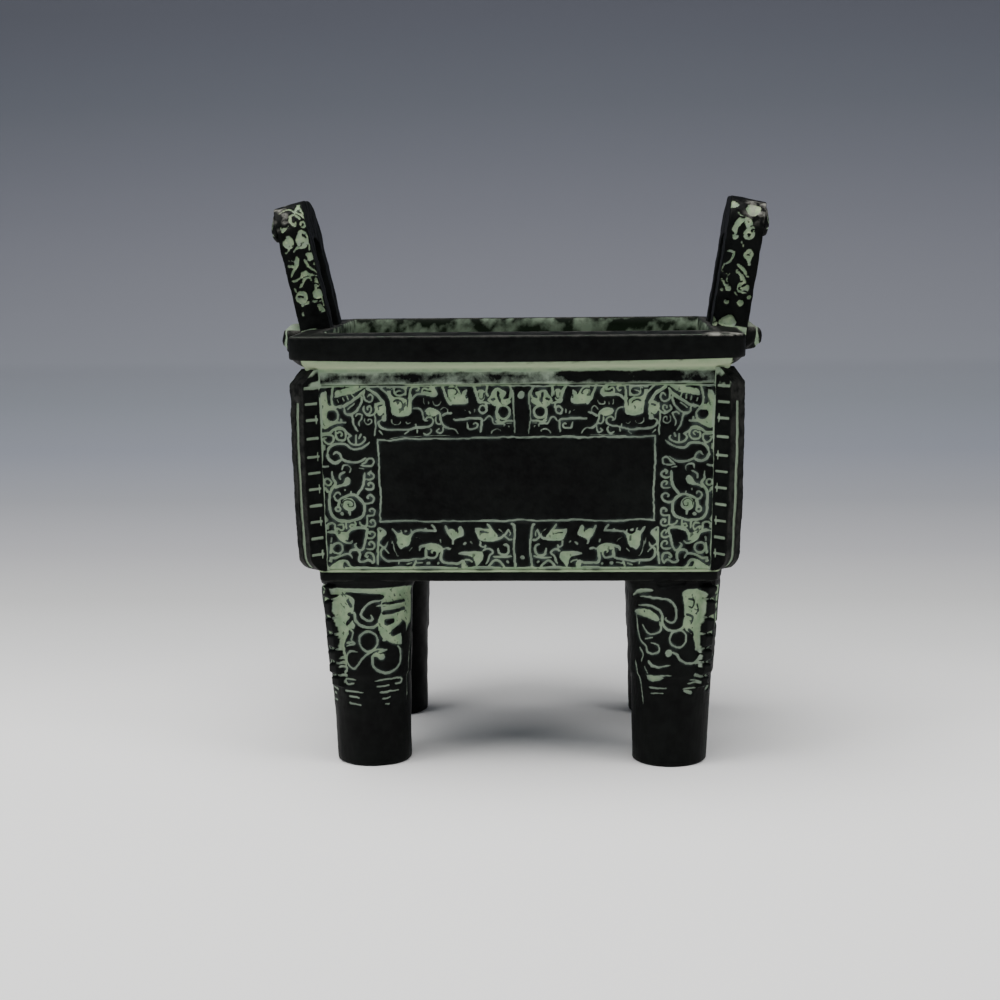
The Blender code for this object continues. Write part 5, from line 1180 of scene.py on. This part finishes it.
def handle_piece(name, side, seed):
    """A leaning inverted U with carved edges and a scroll band outside."""
    (outer_y, outer_z), (inner_y, inner_z) = handle_edges(30)
    path = np.cumsum(np.concatenate([[0.0], np.hypot(np.diff(outer_y), np.diff(outer_z))]))
    count = int(path[-1] / 0.27)
    at = np.linspace(0.0, path[-1], count)
    oy, oz = np.interp(at, path, outer_y), np.interp(at, path, outer_z)
    iy, iz = np.interp(at, path, inner_y), np.interp(at, path, inner_z)
    along = np.minimum(at, path[-1] - at)
    half = HANDLE_SIDES[side]["half"]
    edge = np.linspace(-half, half, 38)
    face = np.linspace(0.0, 1.0, 30)
    loop = [(0.0, p, "edge") for p in edge[:-1]]
    loop += [(s, half, "face") for s in face[:-1]]
    loop += [(1.0, -p, "inner") for p in edge[:-1:3]]
    loop += [(1.0 - s, -half, "back") for s in face[:-1:2]]
    share = np.array([item[0] for item in loop])
    across = np.array([item[1] for item in loop])
    kind = np.array([item[2] for item in loop])
    field = Relief(edge, np.linspace(-1.0, 45.0, 190), seed=seed, warp=0.12)
    handle_relief(field, side)
    on_edge, on_face = kind == "edge", kind == "face"
    S, ALONG = np.meshgrid(share, along)
    P = np.meshgrid(across, along)[0]
    carved = np.ones_like(S)
    rows_at = np.clip(np.searchsorted(field.vs, ALONG - 1.6), 0, len(field.vs) - 1)
    columns_at = np.clip(np.searchsorted(field.us, P - 1e-6), 0, len(field.us) - 1)
    carved = np.where(on_edge[None, :], field.height[rows_at, columns_at], carved)
    middle = np.abs(S - 0.5)
    band = smooth(0.5 - (np.abs(middle - 0.36) - 0.05) / 0.05)
    scroll = np.sin(ALONG * 0.85 + 2.4 * np.sin(S * TAU)) * 0.5 + 0.5
    lines = smooth(0.5 - (np.abs(scroll - 0.5) - 0.16) / 0.12) * (middle < 0.30)
    carved = np.where(on_face[None, :], 1.0 - np.maximum(band * 0.9, lines * 0.95), carved)
    bevel = 0.45
    corner = np.minimum(np.minimum(share, 1.0 - share) * HANDLE_BAR, bevel) / bevel
    flank = np.minimum(half - np.abs(across), bevel) / bevel
    round_off = np.where(on_edge | (kind == "inner"), flank, corner)
    pull = np.meshgrid((1.0 - round_off) ** 2 * bevel * 0.30, along)[0]
    rough = Waves(seed + 1, 1.4)(P, ALONG, S * 8.0) * 0.018 + Waves(seed + 2, 6.0)(P, ALONG, S * 8.0) * 0.06
    depth = (carved - 1.0) * 0.5 + rough - 0.05
    dy, dz = (oy - iy)[:, None], (oz - iz)[:, None]
    length = np.hypot(dy, dz)
    dy, dz = dy / length, dz / length
    Y = oy[:, None] + (iy - oy)[:, None] * S
    Z = oz[:, None] + (iz - oz)[:, None] * S
    push = np.where(on_edge[None, :], depth - pull, np.where((kind == "inner")[None, :], pull - rough, 0.0))
    push = push + np.where((on_face | (kind == "back"))[None, :], -pull * np.sign(S - 0.5) * -1.0, 0.0)
    Y, Z = Y + dy * push, Z + dz * push
    out = P + np.where(on_face[None, :], depth - pull, np.where((kind == "back")[None, :], pull - rough, 0.0))
    out = out - np.sign(P) * np.where((on_edge | (kind == "inner"))[None, :], pull, 0.0)
    outside = np.clip(0.5 + out / half / 2, 0.0, 1.0)
    Z = Z - np.maximum(0.0, Z - HANDLE_HEIGHT + 2.0 * HANDLE_SHOULDER) / 2 * outside ** 1.3
    x, y, z = handle_frame(side)(Y, Z, out)
    points = np.stack([x, y, z], -1).reshape(-1, 3)
    high = smooth((ALONG - 27.0) / 4.0) * smooth((outside - 0.25) / 0.5)
    worn = high * smooth((Waves(seed + 4, 3.0)(P, ALONG, S * 6.0) + 0.35) / 0.8)
    relief = np.where((on_edge | on_face)[None, :], carved, 1.0)
    grains = np.maximum(0.0, Waves(seed + 5, 1.0)(P, ALONG, S * 8.0))
    relief = relief + (1.0 - relief) * 0.30 * grains
    pale = 0.9 + 0.35 * Waves(seed + 6, 1.6)(P, ALONG, S * 8.0) + 0.9 * high
    pool = np.where(on_edge[None, :], pale, 0.2)
    foot_green = smooth((2.6 - ALONG) / 0.8) * smooth((outside - 0.3) / 0.3)
    relief = np.minimum(relief, 1.0 - 0.85 * foot_green * on_edge[None, :])
    values = {"relief": relief, "pool": pool, "wear": np.where(on_edge[None, :], 0.75 * worn, 0.25 * worn),
              "painted_shade": np.zeros_like(relief)}
    rows, columns = relief.shape
    quads = grid_quads(rows, columns, True)
    caps = (list(range(columns)), list(range((rows - 1) * columns, rows * columns))[::-1])
    if side > 0:
        quads = quads[:, ::-1]
        caps = tuple(cap[::-1] for cap in caps)
    return make_mesh(name, points, quads, values, caps)


def boss_piece(name, centre, radii, seed, head):
    """A rounded knob; a head has ears, brows and a blunt muzzle."""
    rows, columns = 34, 52
    polar = np.linspace(0.02, math.pi - 0.02, rows)
    turn = np.linspace(0.0, TAU, columns, endpoint=False)
    T, A = np.meshgrid(turn, polar)
    nx, ny, nz = np.sin(A) * np.cos(T), np.sin(A) * np.sin(T), np.cos(A)
    swell = 1.0 + 0.05 * Waves(seed, 1.2)(nx, ny, nz)
    carved = np.ones_like(nx)
    if head:
        for hand in (-1, 1):
            ear = np.exp(-((ny - hand * 0.55) ** 2 + (nz - 0.72) ** 2) / 0.05)
            swell += 0.16 * ear
            eye = np.hypot(ny - hand * 0.40, nz - 0.16)
            carved = np.minimum(carved, 1.0 - smooth(0.5 - (np.abs(eye - 0.24) - 0.06) / 0.08))
        mouth = smooth(0.5 - (np.abs(nz + 0.42 + 0.25 * ny * ny) - 0.06) / 0.08) * (np.abs(ny) < 0.7)
        carved = np.minimum(carved, 1.0 - mouth)
        swell += 0.06 * np.exp(-(ny ** 2 + (nz + 0.25) ** 2) / 0.15)
    else:
        ring = smooth(0.5 - (np.abs(np.hypot(ny, nz) - 0.62) - 0.10) / 0.12)
        carved = np.minimum(1.0 - ring, 1.0 - 0.9 * smooth((nz - 0.35) / 0.3))
    swell = swell * 0.93 - (1.0 - carved) * 0.10
    points = np.stack([centre[0] + radii[0] * nx * swell, centre[1] + radii[1] * ny * swell,
                       centre[2] + radii[2] * nz * swell], -1).reshape(-1, 3)
    values = {"relief": carved, "pool": np.full_like(nx, 0.5),
              "wear": 0.5 * smooth((nz - 0.1) / 0.6), "painted_shade": np.zeros_like(nx)}
    return closed_grid(name, points, rows, columns, values, centre)


def node(tree, kind, place, **inputs):
    """A shader node at a grid place; inputs set sockets by name."""
    made = tree.nodes.new(kind)
    made.location = (place[0] * 200, place[1] * 200)
    for key, value in inputs.items():
        made.inputs[key.replace("_", " ")].default_value = value
    return made


def ramp(tree, place, stops):
    made = node(tree, "ShaderNodeValToRGB", place)
    elements = made.color_ramp.elements
    while len(elements) < len(stops):
        elements.new(0.5)
    for element, (position, colour) in zip(elements, stops):
        element.position = position
        element.color = colour if len(colour) == 4 else (*colour, 1.0)
    return made


def mix(tree, place, factor, first, second):
    made = tree.nodes.new("ShaderNodeMix")
    made.data_type = "RGBA"
    made.location = (place[0] * 200, place[1] * 200)
    tree.links.new(factor, made.inputs["Factor"])
    for socket, source in (("A", first), ("B", second)):
        target = [s for s in made.inputs if s.name == socket and s.type == "RGBA"][0]
        if isinstance(source, tuple):
            target.default_value = (*source, 1.0)
        else:
            tree.links.new(source, target)
    return [s for s in made.outputs if s.type == "RGBA"][0]


def math_node(tree, place, operation, first, second, clamp=False):
    made = tree.nodes.new("ShaderNodeMath")
    made.operation = operation
    made.use_clamp = clamp
    made.location = (place[0] * 200, place[1] * 200)
    for socket, source in zip(made.inputs, (first, second)):
        if isinstance(source, (int, float)):
            socket.default_value = source
        else:
            tree.links.new(source, socket)
    return made.outputs[0]


def bronze_material():
    """Near-black metal where raised, dusty green pigment in the recesses."""
    material = bpy.data.materials.new("dark_bronze_green_ground")
    material.use_nodes = True
    tree = material.node_tree
    link = tree.links.new
    shader = tree.nodes["Principled BSDF"]
    shader.location = (1400, 0)
    values = {}
    for k, key in enumerate(("relief", "pool", "wear", "painted_shade", "dust")):
        made = node(tree, "ShaderNodeAttribute", (-6, 3 - k))
        made.attribute_name = key
        values[key] = made.outputs["Fac"]
    coords = node(tree, "ShaderNodeTexCoord", (-8, 0))

    def noise(place, scale, detail, roughness):
        made = node(tree, "ShaderNodeTexNoise", place, Scale=scale, Detail=detail, Roughness=roughness)
        link(coords.outputs["Object"], made.inputs["Vector"])
        return made.outputs["Fac"]

    broad = noise((-6, -2), 70.0, 4.0, 0.55)
    medium = noise((-6, -3), 420.0, 5.0, 0.65)
    fine = noise((-6, -4), 2200.0, 3.0, 0.6)

    patch = ramp(tree, (-4, -2), (((0.36), (0.0, 0.0, 0.0)), ((0.66), (1.0, 1.0, 1.0))))
    link(broad, patch.inputs["Fac"])
    speckle = ramp(tree, (-4, -3), (((0.40), (0.0, 0.0, 0.0)), ((0.62), (1.0, 1.0, 1.0))))
    link(medium, speckle.inputs["Fac"])

    thin = mix(tree, (-2, 2), patch.outputs["Color"], (0.200, 0.250, 0.195), (0.310, 0.375, 0.290))
    thick = mix(tree, (-2, 1), speckle.outputs["Color"], (0.210, 0.310, 0.180), (0.350, 0.450, 0.270))
    green = mix(tree, (0, 2), values["pool"], thin, thick)
    brighter = math_node(tree, (-1, 3), "SUBTRACT", values["pool"], 1.0, True)
    green = mix(tree, (0, 3), brighter, green, (0.430, 0.500, 0.310))
    dusty = math_node(tree, (-2, 0), "MULTIPLY", medium, 0.55)
    green = mix(tree, (1, 2), dusty, green, (0.085, 0.110, 0.095))

    metal = mix(tree, (-2, -1), speckle.outputs["Color"], (0.0009, 0.0010, 0.0010), (0.0028, 0.0032, 0.0030))
    haze = math_node(tree, (-2, -2), "MULTIPLY", patch.outputs["Color"], 0.09)
    metal = mix(tree, (0, -1), haze, metal, (0.020, 0.027, 0.022))

    film = math_node(tree, (0, -2), "MULTIPLY", values["dust"], speckle.outputs["Color"])
    film = math_node(tree, (1, -2), "MULTIPLY", film, 0.75)
    metal = mix(tree, (1, -1), film, metal, (0.060, 0.082, 0.072))

    jitter = math_node(tree, (-2, -4), "SUBTRACT", medium, 0.5)
    jitter = math_node(tree, (-1, -4), "MULTIPLY", jitter, 0.7)
    level = math_node(tree, (0, -3), "ADD", values["relief"], jitter)
    covered = ramp(tree, (1, -3), (((0.34), (0.0, 0.0, 0.0)), ((0.68), (1.0, 1.0, 1.0))))
    link(level, covered.inputs["Fac"])
    colour = mix(tree, (3, 0), covered.outputs["Color"], green, metal)

    rubbed = math_node(tree, (1, -5), "MULTIPLY", values["wear"], speckle.outputs["Color"])
    rubbed = math_node(tree, (2, -5), "MULTIPLY", rubbed, 1.25, True)
    colour = mix(tree, (4, 0), rubbed, colour, (0.215, 0.212, 0.188))
    # Painted shade: the inside of the hollow and the underside are darkened towards a deep green where shade falls
    painted_shade_mix = math_node(tree, (3, -5), "MULTIPLY", values["painted_shade"], 0.80)
    colour = mix(tree, (5, 0), painted_shade_mix, colour, (0.014, 0.026, 0.012))
    link(colour, shader.inputs["Base Color"])

    roughness = ramp(tree, (4, -3), (((0.0), (0.86, 0.86, 0.86)), ((1.0), (0.42, 0.42, 0.42))))
    link(covered.outputs["Color"], roughness.inputs["Fac"])
    uneven = math_node(tree, (5, -3), "MULTIPLY", fine, 0.16)
    uneven = math_node(tree, (6, -3), "ADD", roughness.outputs["Color"], uneven, True)
    link(uneven, shader.inputs["Roughness"])
    shader.inputs["Specular IOR Level"].default_value = 0.06
    shader.inputs["Metallic"].default_value = 0.0

    grain = math_node(tree, (4, -6), "ADD", medium, fine)
    bump = node(tree, "ShaderNodeBump", (6, -6), Strength=0.16, Distance=0.00012)
    link(grain, bump.inputs["Height"])
    link(bump.outputs["Normal"], shader.inputs["Normal"])
    return material


def floor_material():
    """Backdrop paper with light and shade painted into its colour: pale in front, darker and grey-blue going back,
    with a paler band where it bends up to the wall.
    """
    material = bpy.data.materials.new("backdrop_painted_light_and_shade")
    material.use_nodes = True
    tree = material.node_tree
    shader = tree.nodes["Principled BSDF"]
    shader.inputs["Roughness"].default_value = 0.75
    shader.inputs["Specular IOR Level"].default_value = 0.15
    coords = node(tree, "ShaderNodeTexCoord", (-8, 0))
    split = node(tree, "ShaderNodeSeparateXYZ", (-6, 0))
    tree.links.new(coords.outputs["Object"], split.inputs["Vector"])
    along = math_node(tree, (-5, 0), "ADD", split.outputs["Y"], split.outputs["Z"])
    along = math_node(tree, (-4, 0), "MULTIPLY", along, 0.4)
    # Painted light and shade along the backdrop, from the object back and up the wall: darker and bluer going
    # back, paler again at the bend
    stops = (
        (0.000, (0.970, 0.962, 0.950)),
        (0.015, (0.920, 0.910, 0.900)),
        (0.046, (0.700, 0.700, 0.695)),
        (0.074, (0.538, 0.538, 0.535)),
        (0.116, (0.418, 0.417, 0.437)),
        (0.177, (0.339, 0.347, 0.376)),
        (0.262, (0.334, 0.352, 0.409)),
        (0.397, (0.426, 0.450, 0.497)),
        (0.473, (0.500, 0.520, 0.570)),
        (0.553, (0.571, 0.585, 0.637)),
        (0.620, (0.514, 0.520, 0.573)),
        (0.703, (0.444, 0.446, 0.497)),
        (0.770, (0.375, 0.378, 0.427)),
        (0.857, (0.279, 0.290, 0.331)),
        (0.930, (0.228, 0.234, 0.272)),
    )
    painted_backdrop_light = ramp(tree, (-2, 0), stops)
    tree.links.new(along, painted_backdrop_light.inputs["Fac"])
    tree.links.new(painted_backdrop_light.outputs["Color"], shader.inputs["Base Color"])
    return material


def backdrop():
    """Flat floor with a wall far behind it, joined by a curve, in metres."""
    profile = [(-3.0, 0.0), (1.3, 0.0)]
    bend = 0.7
    for i in range(1, 13):
        turn = TAU / 4 * i / 12
        profile.append((1.3 + bend * math.sin(turn), bend - bend * math.cos(turn)))
    profile.append((2.0, 3.2))
    points = [(x, y, z) for y, z in profile for x in (-3.0, 3.0)]
    faces = [(2 * i, 2 * i + 1, 2 * i + 3, 2 * i + 2) for i in range(len(profile) - 1)]
    mesh = bpy.data.meshes.new("backdrop")
    mesh.from_pydata(points, [], faces)
    mesh.shade_smooth()
    sheet = bpy.data.objects.new("backdrop", mesh)
    bpy.context.scene.collection.objects.link(sheet)
    sheet.data.materials.append(floor_material())
    return sheet


def area_light(name, place, target, size, power, colour):
    light = bpy.data.lights.new(name, "AREA")
    light.shape = "RECTANGLE"
    light.size, light.size_y = size
    light.energy = power
    light.color = colour
    lamp = bpy.data.objects.new(name, light)
    lamp.location = place
    lamp.rotation_euler = (Vector(target) - Vector(place)).to_track_quat("-Z", "Y").to_euler()
    bpy.context.scene.collection.objects.link(lamp)
    return lamp


def studio():
    world = bpy.data.worlds.new("studio")
    bpy.context.scene.world = world
    world.use_nodes = True
    background = world.node_tree.nodes["Background"]
    background.inputs["Color"].default_value = (0.62, 0.66, 0.72, 1.0)
    background.inputs["Strength"].default_value = 0.43
    area_light("softbox_above", (-0.12, -0.10, 0.95), (0.0, 0.02, 0.0), (0.9, 0.7), 12.5, (1.0, 0.99, 0.97))
    area_light("softbox_left", (-0.85, -0.55, 0.75), (0.0, 0.0, 0.07), (0.5, 0.5), 4.0, (1.0, 1.0, 1.0))
    area_light("softbox_right", (0.75, -0.45, 0.65), (0.0, 0.0, 0.07), (0.4, 0.5), 2.8, (1.0, 0.99, 0.97))


def camera():
    """The photograph's camera, placed by its height, turn, tilt and roll."""
    yaw, pitch, roll = (math.radians(a) for a in (CAMERA_YAW, CAMERA_PITCH, CAMERA_ROLL))
    ahead = Vector((-math.sin(yaw) * math.cos(pitch), math.cos(yaw) * math.cos(pitch), -math.sin(pitch)))
    right = Vector((math.cos(yaw), math.sin(yaw), 0.0))
    up = right.cross(ahead)
    right, up = (right * math.cos(roll) + up * math.sin(roll), up * math.cos(roll) - right * math.sin(roll))
    data = bpy.data.cameras.new("photo_camera")
    data.lens = CAMERA_LENS
    data.sensor_width = 36.0
    data.clip_start = 0.02
    eye = bpy.data.objects.new("photo_camera", data)
    turn = Matrix((right, up, -ahead)).transposed().to_4x4()
    eye.matrix_world = Matrix.Translation(Vector(CAMERA_PLACE) * MM) @ turn
    bpy.context.scene.collection.objects.link(eye)
    bpy.context.scene.camera = eye


BRONZE = bronze_material()

camera()
studio()
backdrop()

core_piece()
WALLS = (
    ("ding_wall_front", 0, BODY_HALF_Y, BODY_HALF_X, FINE_STEP),
    ("ding_wall_right", 1, BODY_HALF_X, BODY_HALF_Y, PLAIN_STEP),
    ("ding_wall_back", 2, BODY_HALF_Y, BODY_HALF_X, PLAIN_STEP),
    ("ding_wall_left", 3, BODY_HALF_X, BODY_HALF_Y, PLAIN_STEP),
)
for wall in WALLS:
    wall_piece(*wall, SEED + 30 * wall[1])
CORNERS = (("front_left", -1, -1), ("front_right", 1, -1), ("back_left", -1, 1), ("back_right", 1, 1))
for number, (words, sx, sy) in enumerate(CORNERS):
    flange_piece(f"ding_flange_{words}", sx, sy, SEED + 200 + 10 * number)
    leg_piece(f"ding_leg_{words}", sx, sy, FINE_STEP if sy < 0 else PLAIN_STEP, SEED + 300 + 10 * number)
HEAD_REACH = {-1: 1.45, 1: 1.2}
KNOB_REACH = {-1: 4.4, 1: 4.3}
for words, side in (("left", -1), ("right", 1)):
    handle_piece(f"ding_handle_{words}", side, SEED + 400 + side)
    place = handle_frame(side)
    middle = HANDLE_WIDTH / 2 - HANDLE_BAR / 2
    for at_end, end in (("front", -1), ("back", 1)):
        head = place(end * (middle - HANDLE_BAR * 0.1), HANDLE_HEIGHT * 0.835, HANDLE_SIDES[side]["half"])
        radii = (HEAD_REACH[side] * side, 3.4, 3.8)
        boss_piece(f"ding_head_{words}_{at_end}", head, radii, SEED + 500 + side + end, True)
        foot = (side * (RIM_HALF_X + 2.0), end * middle * 1.02, RIM_TOP - RIM_FACE * 0.36)
        radii = (KNOB_REACH[side], 3.2, 4.3)
        boss_piece(f"ding_knob_{words}_{at_end}", foot, radii, SEED + 520 + side + end, False)
